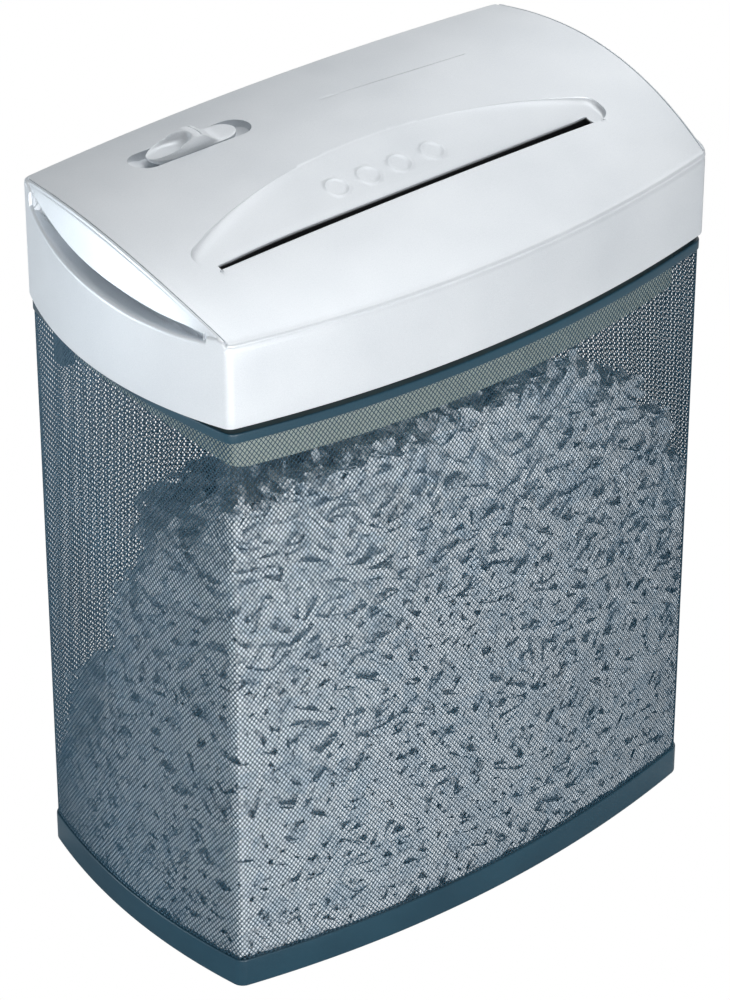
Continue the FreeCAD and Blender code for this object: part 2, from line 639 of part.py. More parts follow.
def frame_plates():
    foot_top = "tray_floor + plate_thick"
    left = block("plate_left_flat", ("plate_left", "plate_front", "tray_floor"),
                 ("plate_left + plate_thick", PLATE_BACK["left"], "plate_top"))
    left_foot = block("plate_left_foot", ("plate_left - plate_foot", "-28", "tray_floor"),
                      ("plate_left", "14", foot_top))
    right = block("plate_right_flat", ("plate_right", "plate_front", "tray_floor"),
                  ("plate_right + plate_thick", PLATE_BACK["right"], "plate_top + 8"))
    right_feet = [block(f"plate_right_foot_{n}", ("plate_right + plate_thick", y, "tray_floor"),
                        ("plate_right + plate_thick + plate_foot", f"{y} + 12", foot_top))
                  for n, y in enumerate(("plate_front", "56"))]
    for label, whole, x in (("left", [left, left_foot], "plate_left"),
                            ("right", [right] + right_feet, "plate_right")):
        tools = [rod(f"bush_hole_{label}_{side}", "bushing", (f"{x} - 1", AXIS_Y[side], "cutter_z"), "4")
                 for side in AXES]
        tools += [rod(f"rod_hole_{label}_{n}", "tie_rod", (f"{x} - 1", y, z), "4")
                  for n, (y, z) in enumerate(ROD_PLACES)]
        if label == "right":
            tools.append(rod("motor_hole", MOTOR_SPIGOT, ("plate_right - 1", *MOTOR_AXIS), "4"))
            tools += [rod(f"axle_hole_{n}", str(AXLE_RADIUS), ("plate_right - 1", y, z), "4")
                      for n, (y, z) in enumerate((SECOND_AXIS, FIRST_AXIS))]
            tools += [rod(f"motor_screw_hole_{n}", "motor_screw", ("plate_right - 1", y, z), "4")
                      for n, (y, z) in enumerate(motor_screw_places())]
        here = [p for p in FRAME_SCREWS if (p[0] < 0) == (label == "left")]
        tools += [rod(f"plate_screw_hole_{label}_{n}", "casing_screw", (px, py, "tray_floor - 1"), "4", "z")
                  for n, (px, py) in enumerate(here)]
        keep(carve(f"frame_{label}", fuse(f"frame_whole_{label}", whole), tools), f"frame_plate_{label}")


MOTOR_SPIGOT = 8
MOTOR_SCREW_REACH = 12


def motor_screw_places():
    """Above and below the motor's shaft."""
    return [along(MOTOR_AXIS, MOTOR_SCREW_REACH, degrees) for degrees in (90, -90)]


def tie_rods():
    bars = [rod(f"tie_rod_{n}", "tie_rod", ("plate_left - nut_thick - 1", y, z),
                "plate_right - plate_left + plate_thick + 2 * nut_thick + 1")
            for n, (y, z) in enumerate(ROD_PLACES)]
    keep(group("rods", bars), "tie_rods")
    nuts = []
    for number, (y, z) in enumerate(ROD_PLACES):
        for end, x in enumerate(("plate_left - nut_thick", "plate_right + plate_thick")):
            nut = doc.addObject("Part::Prism", f"nut_{number}_{end}")
            nut.Polygon = 6
            nut.Placement = Placement(Vector(), X_AXIS)
            bind(nut, {"Circumradius": "tie_rod_nut", "Height": "nut_thick", "Placement.Base.x": x,
                       "Placement.Base.y": y, "Placement.Base.z": z})
            bore = rod(f"nut_bore_{number}_{end}", "tie_rod", (f"{x} - 1", y, z), "nut_thick + 2")
            nuts.append(cut(f"tie_rod_nut_{number}_{end}", nut, bore))
    keep(group("nuts", nuts), "tie_rod_nuts")


def shaft_bushings():
    rings = []
    for side in AXES:
        for end, x in enumerate(("plate_left - 0.4", "plate_right - 0.5")):
            ring = rod(f"bush_{side}_{end}", "bushing", (x, AXIS_Y[side], "cutter_z"), "plate_thick + 0.9")
            bore = rod(f"bush_bore_{side}_{end}", f"journal + {RUNNING_GAP}",
                       (f"{x} - 1", AXIS_Y[side], "cutter_z"), "5")
            rings.append(cut(f"bushing_{side}_{end}", ring, bore))
    keep(group("bushings", rings), "shaft_bushings")


def throat_guides():
    """Two plates that lead the paper from the entry down to the discs."""
    near = "entry_y - entry_gap / 2"
    far = "entry_y + entry_gap / 2"
    behind = f"{far} + guide_thick"
    front = block("guide_front", ("plate_left + plate_thick", f"{near} - guide_thick", "guide_bottom"),
                  ("plate_right", near, "guide_top"))
    notch = block("guide_notch", ("window_left", f"{near} - 1.5", "guide_bottom - 1"),
                  ("window_right", near, "lever_z"))
    keep(cut("throat_front", front, notch), "throat_guide_front")
    rear = block("guide_rear", ("plate_left + plate_thick", far, "guide_bottom"),
                 ("plate_right", behind, "guide_top"))
    window = block("guide_window", ("window_left", f"{far} - 1", "guide_bottom + 3"),
                   ("window_right", f"{behind} + 1.5", "guide_top - 3"))
    shelf = block("sensor_shelf", ("window_left - 6.5", behind, "lever_z - 11"),
                  ("window_right + 6.5", "-9", "lever_z - 8"))
    lugs = [block(f"lever_lug_{n}", (x, behind, "lever_z - 8"),
                  (f"{x} + 2.5", "lever_y + 3.5", "lever_z + 4"))
            for n, x in enumerate(("window_left - 4.5", "window_right + 2"))]
    pin_hole = rod("lever_pin_hole", "lever_pin", ("window_left - 10.5", "lever_y", "lever_z"), "30")
    clear = block("lever_space", ("window_left", f"{far} + 2", "guide_bottom - 1"),
                  ("window_right", "lever_y + 7", "lever_z - 6"))
    keep(carve("throat_rear", fuse("guide_rear_whole", [rear, shelf] + lugs), [window, pin_hole, clear]),
         "throat_guide_rear")


# the lever's arm, as (beyond the pin towards the front, above the pin)
LEVER_ARM = [(0, 3), (13, -5), (13, -7.5), (0, -3)]


def entry_sensor():
    """The lever that paper pushes down, its pin, and the light gate that its tail leaves."""
    keep(rod("sensor_pin", "lever_pin", ("window_left - 5.5", "lever_y", "lever_z"), "19"), "lever_pin")
    hub = rod("lever_hub_whole", "lever_hub", ("window_left + 1.5", "lever_y", "lever_z"), "5")
    corners = [Vector(D.window_left + 2.5, D.lever_y - forward, D.lever_z + up) for forward, up in LEVER_ARM]
    arm = solid("lever_arm", Part.Face(Part.makePolygon(corners + corners[:1])).extrude(Vector(3, 0, 0)))
    tail = block("lever_tail", ("window_left + 3", "lever_y", "lever_z - 1.4"),
                 ("window_left + 5", "lever_y + 15", "lever_z + 1.4"))
    bore = rod("lever_bore", f"lever_pin + {RUNNING_GAP}", ("window_left - 0.5", "lever_y", "lever_z"), "10")
    keep(cut("lever", fuse("lever_whole", [hub, arm, tail]), bore), "sensor_lever")
    body = block("gate_body", ("window_left - 2.5", "lever_y + 9", "lever_z - 8"),
                 ("window_right + 2.5", "lever_y + 16.6", "lever_z + 2"))
    gap = block("gate_gap", ("window_left + 2", "lever_y + 8", "lever_z - 5"),
                ("window_left + 6", "lever_y + 18", "lever_z + 3"))
    keep(cut("gate", body, gap), "entry_sensor")


# ---------------------------------------------------------------- gears
# one tooth, as (share of a pitch from its middle, height over the pitch circle in modules)
TOOTH = [(-0.28, -1.2), (-0.215, 0), (-0.12, 0.85), (0.12, 0.85), (0.215, 0), (0.28, -1.2)]
PLANE_SYNC = (D.plate_left - 5.6, D.plate_left - 0.8)
PLANE_MOTOR = (115, 120)


def gear_shape(module, teeth, x_range, axis, bore, phase):
    """A spur wheel of straight-sided teeth; phase turns one tooth to that angle in degrees."""
    teeth = int(teeth)
    pitch = module * teeth / 2
    points = []
    for tooth in range(teeth):
        for share, height in TOOTH:
            angle = math.radians(phase + 360 * (tooth + share) / teeth)
            radius = pitch + module * height
            points.append(Vector(0, radius * math.cos(angle), radius * math.sin(angle)))
    points.append(points[0])
    shape = Part.Face(Part.makePolygon(points)).extrude(Vector(x_range[1] - x_range[0], 0, 0))
    hole = Part.makeCylinder(bore, x_range[1] - x_range[0] + 2, Vector(-1, 0, 0), Vector(1, 0, 0))
    shape = shape.cut(hole)
    shape.translate(Vector(x_range[0], axis[0], axis[1]))
    return shape


def meshing_phase(teeth, toward):
    """Turn a wheel so that a gap between two teeth faces a direction."""
    return toward + 180 / teeth


def gears():
    for side, phase in (("front", 0), ("rear", meshing_phase(D.sync_teeth, 180))):
        wheel = gear_shape(MODULES["sync"], D.sync_teeth, PLANE_SYNC, AXES[side], D.journal, phase)
        keep(solid(f"sync_{side}", wheel), f"sync_gear_{side}")
    keep(solid("main", gear_shape(MODULES["third"], D.main_teeth, PLANE_THIRD, REAR_AXIS, D.journal,
                                  SECOND_ANGLE)), "main_gear")
    running = AXLE_RADIUS + RUNNING_GAP
    second_plane = (PLANE_SECOND[1], PLANE_THIRD[1])
    second_small = gear_shape(MODULES["third"], D.second_pinion, second_plane, SECOND_AXIS, running,
                              meshing_phase(D.second_pinion, SECOND_ANGLE + 180))
    second_big = gear_shape(MODULES["second"], D.second_wheel, PLANE_SECOND, SECOND_AXIS, running,
                            FIRST_ANGLE)
    keep(solid("second", second_big.fuse(second_small).removeSplitter()), "second_gear")
    first_small = gear_shape(MODULES["second"], D.first_pinion, (PLANE_FIRST[1], PLANE_SECOND[1] + 0.5),
                             FIRST_AXIS, running, meshing_phase(D.first_pinion, FIRST_ANGLE + 180))
    first_big = gear_shape(MODULES["first"], D.first_wheel, PLANE_FIRST, FIRST_AXIS, running, MOTOR_ANGLE)
    keep(solid("first", first_big.fuse(first_small).removeSplitter()), "first_gear")
    pinion = gear_shape(MODULES["first"], D.motor_pinion, PLANE_MOTOR, MOTOR_AXIS, MOTOR_SHAFT_RADIUS,
                        meshing_phase(D.motor_pinion, MOTOR_ANGLE + 180))
    keep(solid("pinion", pinion), "motor_pinion")
    pins = [rod(f"axle_{n}", AXLE_RADIUS, ("plate_right", y, z), f"{COVER_X} + {COVER_THICK} - plate_right")
            for n, (y, z) in enumerate((SECOND_AXIS, FIRST_AXIS))]
    keep(group("axles", pins), "gear_axles")


COVER_POSTS = [(-42, 362), (52, 310), (34, 365)]
COVER_CORNERS = [(-46, 306), (58, 306), (58, 352), (40, 371), (-46, 368)]


def gearbox():
    posts = []
    for number, (y, z) in enumerate(COVER_POSTS):
        post = rod(f"post_{number}", "board_post", ("plate_right + plate_thick", y, z),
                   f"{COVER_X} - plate_right - plate_thick")
        bore = rod(f"post_bore_{number}", "casing_screw", (f"{COVER_X} - {SCREW_DEPTH}", y, z), "9")
        posts.append(cut(f"cover_post_{number}", post, bore))
    keep(group("posts", posts), "gearbox_posts")
    corners = [Vector(COVER_X, y, z) for y, z in COVER_CORNERS]
    outline = Part.makePolygon(corners + corners[:1])
    plate = solid("cover_flat", Part.Face(outline).extrude(Vector(COVER_THICK, 0, 0)))
    tools = [rod(f"cover_hole_{n}", "casing_screw", (COVER_X - 1, y, z), "4")
             for n, (y, z) in enumerate(COVER_POSTS)]
    tools += [rod(f"cover_axle_hole_{n}", AXLE_RADIUS, (COVER_X - 1, y, z), "4")
              for n, (y, z) in enumerate((SECOND_AXIS, FIRST_AXIS))]
    keep(carve("cover", plate, tools), "gearbox_cover")


# ---------------------------------------------------------------- motor
def motor():
    y, z = MOTOR_AXIS
    start = "(plate_right - motor_length)"
    bearing = f"{MOTOR_SHAFT_RADIUS} + {RUNNING_GAP}"
    can = rod("can_outer", "motor_radius", (start, y, z), "motor_length")
    inside = rod("can_inner", "motor_radius - motor_wall", (f"{start} - 1", y, z), "motor_length - 1")
    front_hole = rod("can_bearing", bearing, (f"{start} - 1", y, z), "motor_length + 2")
    screw_holes = [rod(f"can_screw_hole_{n}", "motor_screw", ("plate_right - 3", sy, sz), "4")
                   for n, (sy, sz) in enumerate(motor_screw_places())]
    keep(carve("can", can, [inside, front_hole] + screw_holes), "motor_can")

    cap = rod("cap_outer", "motor_radius", (f"{start} - cap_length", y, z), "cap_length")
    cap_inside = rod("cap_inner", "motor_radius - 3", (f"{start} - cap_length + 2", y, z), "cap_length - 1")
    rear_hole = rod("cap_bearing", bearing, (f"{start} - cap_length - 1", y, z), "cap_length + 2")
    keep(carve("cap", cap, [cap_inside, rear_hole]), "motor_end_cap")
    inside_motor(y, z)
    shaft_start = f"{start} - cap_length - 1"
    shaft_end = PLANE_MOTOR[1] + 1
    keep(rod("rotor_shaft", MOTOR_SHAFT_RADIUS, (shaft_start, y, z), f"{shaft_end} - ({shaft_start})"),
         "motor_shaft")


BRUSH_ENDS = (7.1, 16)
SLOT_COUNT = 6


def inside_motor(y, z):
    """Magnets, brushes, armature and commutator."""
    along_x = Vector(1, 0, 0)
    ring = Part.makeCylinder(D.motor_radius - D.motor_wall, D.magnet_length,
                             Vector(D.magnet_start, y, z), along_x)
    ring = ring.cut(Part.makeCylinder(D.magnet_inside, D.magnet_length + 2,
                                      Vector(D.magnet_start - 1, y, z), along_x))
    gap = Part.makeBox(D.magnet_length + 4, D.magnet_gap, 60,
                       Vector(D.magnet_start - 2, y - D.magnet_gap / 2, z - 30))
    keep(solid("magnets", ring.cut(gap)), "motor_magnets")

    near, away = BRUSH_ENDS
    brushes = [block(f"brush_{n}", ("commutator_start + 0.5", y - 2, low),
                     ("commutator_start + 6.5", y + 2, high))
               for n, (low, high) in enumerate(((z + near, z + away), (z - away, z - near)))]
    keep(group("brushes", brushes), "motor_brushes")

    core = rod("core", "armature", ("armature_start", y, z), "armature_length")
    core_bore = rod("core_bore", MOTOR_SHAFT_RADIUS, ("armature_start - 1", y, z), "armature_length + 2")
    slots = [solid(f"core_slot_{n}", core_slot(360 / SLOT_COUNT * n)) for n in range(SLOT_COUNT)]
    keep(carve("armature_whole", core, [core_bore] + slots), "armature_core")
    drum = rod("drum", "commutator", ("commutator_start", y, z), "commutator_length")
    drum_bore = rod("drum_bore", MOTOR_SHAFT_RADIUS, ("commutator_start - 1.5", y, z),
                    "commutator_length + 3")
    keep(cut("commutator_drum", drum, drum_bore), "commutator")


def core_slot(degrees):
    """One winding slot along the armature."""
    y, z = MOTOR_AXIS
    slot = Part.makeBox(D.armature_length + 4, 8, D.winding_slot,
                        Vector(D.armature_start - 2, y + 9, z - D.winding_slot / 2))
    slot.rotate(Vector(0, y, z), Vector(1, 0, 0), degrees)
    return slot


# ---------------------------------------------------------------- controls
BOARD_LOW, BOARD_HIGH = (-112, 26), (-22, 70)
BOARD_TOP = f"{BOARD_Z} + {BOARD_THICK}"
RELAY = ((-96, 38), (-77, 54), 17)
CAPACITOR = {"place": (-62, 46), "radius": 8, "height": 20}
PLUG_PLACES = (-90, -76)


def control_board():
    board = block("board_flat", (*BOARD_LOW, BOARD_Z), (*BOARD_HIGH, BOARD_TOP))
    holes = [rod(f"board_hole_{n}", "board_screw", (x, y, f"{BOARD_Z} - 1"), "4", "z")
             for n, (x, y) in enumerate(BOARD_POSTS)]
    keep(carve("board", board, holes), "control_board")
    keep(block("relay", (*RELAY[0], BOARD_TOP), (*RELAY[1], BOARD_Z + RELAY[2])), "board_relay")
    can = rod("can_capacitor", CAPACITOR["radius"], (*CAPACITOR["place"], BOARD_TOP),
              CAPACITOR["height"], "z")
    keep(can, "board_capacitor")
    plugs = [block(f"plug_{n}", (x, "28", BOARD_TOP), (x + 10, "34", BOARD_Z + 10))
             for n, x in enumerate(PLUG_PLACES)]
    keep(group("plugs", plugs), "board_connectors")


# the slider seen from the front, as (beyond the crest towards the right, above the casing)
SLIDER_BACK = [(-24, 0.8), (-2.5, 6), (2, 5.6), (9, 0.5), (24, 0.2)]
THUMB_RADIUS, THUMB_X, THUMB_DEEP = 26, -17, 1.4
CREST_GROOVE = (0.8, 1.2)


def slide_switch():
    body = block("switch_block", ("switch_x - 16", "switch_y - 6", "stem_bottom - 7.5"),
                 ("switch_x + 16", "switch_y + 6", "well_floor - shell_wall"))
    channel = block("switch_channel",
                    ("switch_x - stem_slot / 2", "switch_y - stem_gap", "stem_bottom - 1.5"),
                    ("switch_x + stem_slot / 2", "switch_y + stem_gap", ABOVE_ALL))
    keep(cut("switch", body, channel), "switch_body")

    bottom = D.well_floor + 0.4
    level = panel_height(D.switch_x, D.switch_y)
    oval = stadium(D.switch_x, D.switch_y, D.slider_length, D.slider_width, bottom, ABOVE_ALL)
    near = D.switch_y - D.slider_width
    across = Vector(0, 2 * D.slider_width, 0)
    corners = [Vector(D.switch_x + x, near, level + up) for x, up in SLIDER_BACK]
    corners += [Vector(corners[-1].x, near, bottom), Vector(corners[0].x, near, bottom), corners[0]]
    knob = oval.common(Part.Face(Part.makePolygon(corners)).extrude(across))
    thumb = Part.makeSphere(THUMB_RADIUS, Vector(D.switch_x + THUMB_X, D.switch_y,
                                                 level + THUMB_RADIUS + THUMB_DEEP))
    knob = knob.cut(thumb)
    wide, deep = CREST_GROOVE
    groove = Part.makeBox(wide, across.y, deep, Vector(D.switch_x + 0.2, near, level + D.slider_crest - deep))
    stem = Part.makeBox(D.stem_size, D.stem_size, bottom - D.stem_bottom,
                        Vector(D.switch_x - D.stem_size / 2, D.switch_y - D.stem_size / 2, D.stem_bottom))
    keep(solid("slider", knob.cut(groove).fuse(stem)), "switch_slider")


def interlock():
    """The plunger that feels the bin under the head, and its switch."""
    stem = rod("plunger_stem", PLUNGER_RADIUS, (PLUNGER_X, PLUNGER_Y, "flange_bottom"), "17.5", "z")
    collar = rod("plunger_collar", PLUNGER_RADIUS + 1.5, (PLUNGER_X, PLUNGER_Y, "head_bottom + 4.2"),
                 "2", "z")
    keep(fuse("plunger", [stem, collar]), "interlock_plunger")
    keep(block("plunger_switch", (SWITCH_RIGHT - 11, SWITCH_Y[0], "flange_bottom + 18.2"),
               (SWITCH_RIGHT, SWITCH_Y[1], SWITCH_TOP)), "interlock_switch")


# ---------------------------------------------------------------- fasteners
def screws(name, label, places, head, shank, way):
    """Identical screws: head and shank are (radius, start, end) along one axis."""
    parts = []
    for number, place in enumerate(places):
        pieces = []
        for kind, (radius, start, end) in (("head", head), ("shank", shank)):
            if way == "z":
                where = (place[0], place[1], start)
            else:
                where = (start, place[0], place[1])
            pieces.append(rod(f"{name}_{kind}_{number}", radius, where, f"({end}) - ({start})", way))
        parts.append(fuse(f"{name}_{number}", pieces))
    keep(group(name, parts), label)


def all_screws():
    seat = "tray_bottom + tower_well_deep"
    screws("casing_screws", "housing_screws", TOWERS, ("3", f"{seat} - 2", seat),
           ("casing_screw", seat, "tower_top + 8"), "z")
    foot_top = "tray_floor + plate_thick"
    screws("foot_screws", "frame_screws", FRAME_SCREWS, ("2.8", foot_top, f"{foot_top} + 2"),
           ("casing_screw", "tray_floor - 2", foot_top), "z")
    screws("post_screws", "board_screws", BOARD_POSTS, ("2.6", BOARD_TOP, f"{BOARD_TOP} + 1.6"),
           ("board_screw", f"{BOARD_Z} - 7", BOARD_TOP), "z")
    outside = COVER_X + COVER_THICK
    screws("lid_screws", "cover_screws", COVER_POSTS, ("3", outside, outside + 2),
           ("casing_screw", COVER_X - SCREW_DEPTH, outside), "x")
    plate = "plate_right + plate_thick"
    screws("can_screws", "motor_screws", motor_screw_places(), ("2.4", plate, f"{plate} + 1.6"),
           ("motor_screw", "plate_right - 2", plate), "x")


# ---------------------------------------------------------------- build and write
bin_base()
bin_feet()
mesh_wall()
mesh_seam_strip()
interlock_tab(bin_rim())
top_housing()
lower_housing()
cord_gland()
cutter("front", "plate_right + 3.5")
cutter("rear", f"{COVER_X} - 0.5")
stripper_comb("front")
stripper_comb("rear")
frame_plates()
tie_rods()
shaft_bushings()
throat_guides()
entry_sensor()
gears()
gearbox()
motor()
control_board()
slide_switch()
interlock()
all_screws()
doc.recompute()

failed = [o.Name for o in doc.Objects if "Invalid" in o.State or "Error" in o.State]
if failed:
    raise RuntimeError(f"failed objects: {failed}")
os.makedirs("parts", exist_ok=True)
for node in NODES:
    shape = node.Shape
    if shape.isNull() or not shape.isValid() or not shape.Solids:
        raise RuntimeError(f"bad shape: {node.Label}")
    shape.exportStep(f"parts/{node.Label}.step")
    print(f"{node.Label}: {len(shape.Solids)} solid(s), {shape.Volume:.0f} mm3")
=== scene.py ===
"""Looks for a desk-side paper shredder: a silver cutting head on a bin of fine dark mesh.

Shapes are worked out in millimetres in the CAD's own frame and written to the meshes in metres.
The head's casing, the switch, the bin's rim, base and wall are finer versions of the CAD nodes that they
replace. Every other CAD node is kept and only gets its material.
"""

import json
import math

import bpy
import numpy as np
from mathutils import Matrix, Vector, geometry, kdtree


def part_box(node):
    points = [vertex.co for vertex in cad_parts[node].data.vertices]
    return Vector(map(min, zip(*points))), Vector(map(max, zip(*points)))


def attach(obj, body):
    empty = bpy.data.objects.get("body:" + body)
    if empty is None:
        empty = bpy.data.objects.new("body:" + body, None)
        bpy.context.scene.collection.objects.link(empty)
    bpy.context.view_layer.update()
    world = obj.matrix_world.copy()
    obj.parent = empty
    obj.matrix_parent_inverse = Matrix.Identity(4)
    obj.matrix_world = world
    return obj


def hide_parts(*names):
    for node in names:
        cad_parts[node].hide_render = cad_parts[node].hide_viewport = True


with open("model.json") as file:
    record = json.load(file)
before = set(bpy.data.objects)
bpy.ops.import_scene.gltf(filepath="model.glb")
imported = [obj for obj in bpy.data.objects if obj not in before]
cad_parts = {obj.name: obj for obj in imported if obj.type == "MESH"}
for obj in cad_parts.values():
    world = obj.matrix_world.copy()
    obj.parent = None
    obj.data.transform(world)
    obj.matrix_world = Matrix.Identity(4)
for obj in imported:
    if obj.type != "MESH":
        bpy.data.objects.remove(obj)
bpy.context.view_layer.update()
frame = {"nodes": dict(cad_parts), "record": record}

MM = 0.001
MIDDLE = 4.75

# ---------------- sizes, millimetres
HEAD_SIZE = (292.0, 161.0)
HEAD_BOWS = (17.5, 17.0, 8.0, 17.0)
HEAD_BOTTOM = 331.0
FRONT_HEIGHT, BACK_HEIGHT, ARCH = 45.0, 62.5, 13.0
BIN_SIZE = (290.0, 159.0)
BIN_BOWS = (17.5, 9.5, 7.0, 9.5)
CORNER = 6.0
BIN_FLOOR = 4.5
TRIM_TOP = 18.0
RIM_BOTTOM, RIM_TOP = 322.5, 328.0


# ---------------- mesh helpers
def add_object(name, points, faces, finish_name, body, smooth=True, sharp=None):
    """A mesh object from points in millimetres, riding on a CAD body."""
    mesh = bpy.data.meshes.new(name)
    mesh.from_pydata((np.asarray(points, float) * MM).tolist(), [], faces)
    mesh.update()
    if smooth:
        mesh.shade_smooth()
    if sharp:
        mesh.set_sharp_from_angle(angle=math.radians(sharp))
    mesh.materials.append(FINISHES[finish_name])
    item = bpy.data.objects.new(name, mesh)
    bpy.context.scene.collection.objects.link(item)
    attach(item, body)
    return item


def ring_faces(ring_count, station_count, closed_rings=False):
    """Quads between neighbouring rings of a closed loop of stations."""
    faces = []
    last = ring_count if closed_rings else ring_count - 1
    for ring in range(last):
        here = ring * station_count
        there = ((ring + 1) % ring_count) * station_count
        for station in range(station_count):
            following = (station + 1) % station_count
            faces.append((here + station, here + following, there + following, there + station))
    return faces


def cap_faces(ring_count, station_count):
    """A face over the first ring and one over the last."""
    last = (ring_count - 1) * station_count
    return [tuple(reversed(range(station_count))), tuple(range(last, last + station_count))]


def box_loop(low_x, low_y, high_x, high_y):
    """The plan corners of a box, in turn."""
    return np.array([(low_x, low_y), (high_x, low_y), (high_x, high_y), (low_x, high_y)])


def plan_tree(points):
    """A search tree over plan points."""
    tree = kdtree.KDTree(len(points))
    for number, point in enumerate(points):
        tree.insert((*point, 0), number)
    tree.balance()
    return tree


def smooth_table(value, places, heights):
    """A smooth curve through a short table, without overshoot."""
    places, heights = np.asarray(places, float), np.asarray(heights, float)
    value = np.clip(value, places[0], places[-1])
    steps = np.diff(places)
    slopes = np.diff(heights) / steps
    tangents = np.zeros(len(places))
    tangents[0], tangents[-1] = slopes[0], slopes[-1]
    both = slopes[:-1] * slopes[1:]
    flat_sum = np.where(np.abs(slopes[:-1] + slopes[1:]) < 1e-9, 1.0, slopes[:-1] + slopes[1:])
    tangents[1:-1] = np.where(both > 0, 2 * both / flat_sum, 0.0)
    index = np.clip(np.searchsorted(places, value, side="right") - 1, 0, len(places) - 2)
    span = steps[index]
    share = (value - places[index]) / span
    square, cube = share**2, share**3
    from_start = (2 * cube - 3 * square + 1) * heights[index]
    from_start = from_start + (cube - 2 * square + share) * span * tangents[index]
    from_end = (3 * square - 2 * cube) * heights[index + 1] + (cube - square) * span * tangents[index + 1]
    return from_start + from_end


def smooth_min(first, second, width):
    """The lower of two heights, with the crease between them rounded."""
    blend = np.clip(0.5 + 0.5 * (second - first) / width, 0, 1)
    return second + (first - second) * blend - width * blend * (1 - blend)


def round_drop(inside, radius):
    """How far a rounded edge lies under the surface, at a distance inside the edge."""
    near = np.clip(radius - inside, 0, radius)
    return radius - np.sqrt(radius**2 - near**2)


class Outline:
    """Four outward arcs over a rectangle of corners, joined by round corners."""

    def __init__(self, size, bows, corner):
        half_x, half_y = size[0] / 2, size[1] / 2
        corners = [np.array(c) for c in ((-half_x, MIDDLE - half_y), (half_x, MIDDLE - half_y),
                                         (half_x, MIDDLE + half_y), (-half_x, MIDDLE + half_y))]
        circles = []
        for side in range(4):
            start, end = corners[side], corners[(side + 1) % 4]
            half = np.linalg.norm(end - start) / 2
            radius = (half**2 + bows[side] ** 2) / (2 * bows[side])
            along = (end - start) / (2 * half)
            outward = np.array((along[1], -along[0]))
            circles.append(((start + end) / 2 - outward * (radius - bows[side]), radius))
        fillets = []
        for side in range(4):
            after = (side + 1) % 4
            fillets.append(self.corner_centre(circles[side], circles[after], corners[after], corner))
        self.circles = circles
        self.segments = []
        for side in range(4):
            centre, radius = circles[side]
            turn_in = self.angle(fillets[side - 1] - centre)
            turn_out = self.angle(fillets[side] - centre)
            turn_next = self.angle(fillets[side] - circles[(side + 1) % 4][0])
            self.segments.append((centre, radius, turn_in, self.after(turn_in, turn_out)))
            self.segments.append((fillets[side], corner, turn_out, self.after(turn_out, turn_next)))
        lengths = [radius * (end - start) for _, radius, start, end in self.segments]
        self.starts = np.concatenate([[0.0], np.cumsum(lengths)])
        self.length = self.starts[-1]

    @staticmethod
    def angle(vector):
        return math.atan2(vector[1], vector[0])

    @staticmethod
    def after(start, end):
        """The end angle, a positive turn after the start."""
        while end < start:
            end += 2 * math.pi
        return end

    @staticmethod
    def corner_centre(first, second, near, corner):
        """Where a corner circle touches both arcs from inside."""
        (centre_a, radius_a), (centre_b, radius_b) = first, second
        reach_a, reach_b = radius_a - corner, radius_b - corner
        gap = np.linalg.norm(centre_b - centre_a)
        along = (centre_b - centre_a) / gap
        step = (reach_a**2 - reach_b**2 + gap**2) / (2 * gap)
        rise = math.sqrt(reach_a**2 - step**2)
        across = np.array((-along[1], along[0]))
        spots = [centre_a + along * step + across * rise * sign for sign in (-1, 1)]
        return min(spots, key=lambda spot: np.linalg.norm(spot - near))

    def at(self, distance):
        """Points on the outline and their outward directions, at distances along it."""
        distance = np.mod(np.asarray(distance, float), self.length)
        index = np.clip(np.searchsorted(self.starts, distance, side="right") - 1, 0, 7)
        centres = np.array([s[0] for s in self.segments])[index]
        radii = np.array([s[1] for s in self.segments])[index]
        turns = np.array([s[2] for s in self.segments])[index] + (distance - self.starts[index]) / radii
        outward = np.stack([np.cos(turns), np.sin(turns)], axis=-1)
        return centres + outward * radii[..., None], outward

    def stations(self, step, corner_step, near_corner=0.0):
        """Distances round the outline, closer together at the corners and up to near_corner from them."""
        places = []
        for index in range(8):
            start, end = self.starts[index], self.starts[index + 1]
            if index % 2:
                count = max(2, round((end - start) / corner_step))
                places.append(np.linspace(start, end, count, endpoint=False))
                continue
            stops = (start, start + near_corner, end - near_corner, end)
            for low, high, spacing in zip(stops, stops[1:], (corner_step, step, corner_step)):
                if high - low > 1e-6:
                    count = max(1, round((high - low) / spacing))
                    places.append(np.linspace(low, high, count, endpoint=False))
        return np.concatenate(places)

    def pull_inside(self, points, margin):
        """Move plan points that lie beyond the outline, less a margin, back to it."""
        points = points.copy()
        arcs = [(centre, radius - margin, 0.0, 3 * math.pi) for centre, radius in self.circles]
        for centre, radius, start, end in self.segments[1::2]:
            arcs.append((centre, max(radius - margin, 0.2), start, end - start))
        for centre, limit, start, sweep in arcs:
            offset = points - centre
            reach = np.linalg.norm(offset, axis=-1)
            turn = np.mod(np.arctan2(offset[..., 1], offset[..., 0]) - start, 2 * math.pi)
            over = (reach > limit) & (turn < sweep)
            points[over] = (centre + offset * (limit / np.maximum(reach, 1e-9))[..., None])[over]
        return points


HEAD = Outline(HEAD_SIZE, HEAD_BOWS, CORNER)
BIN = Outline(BIN_SIZE, BIN_BOWS, CORNER)


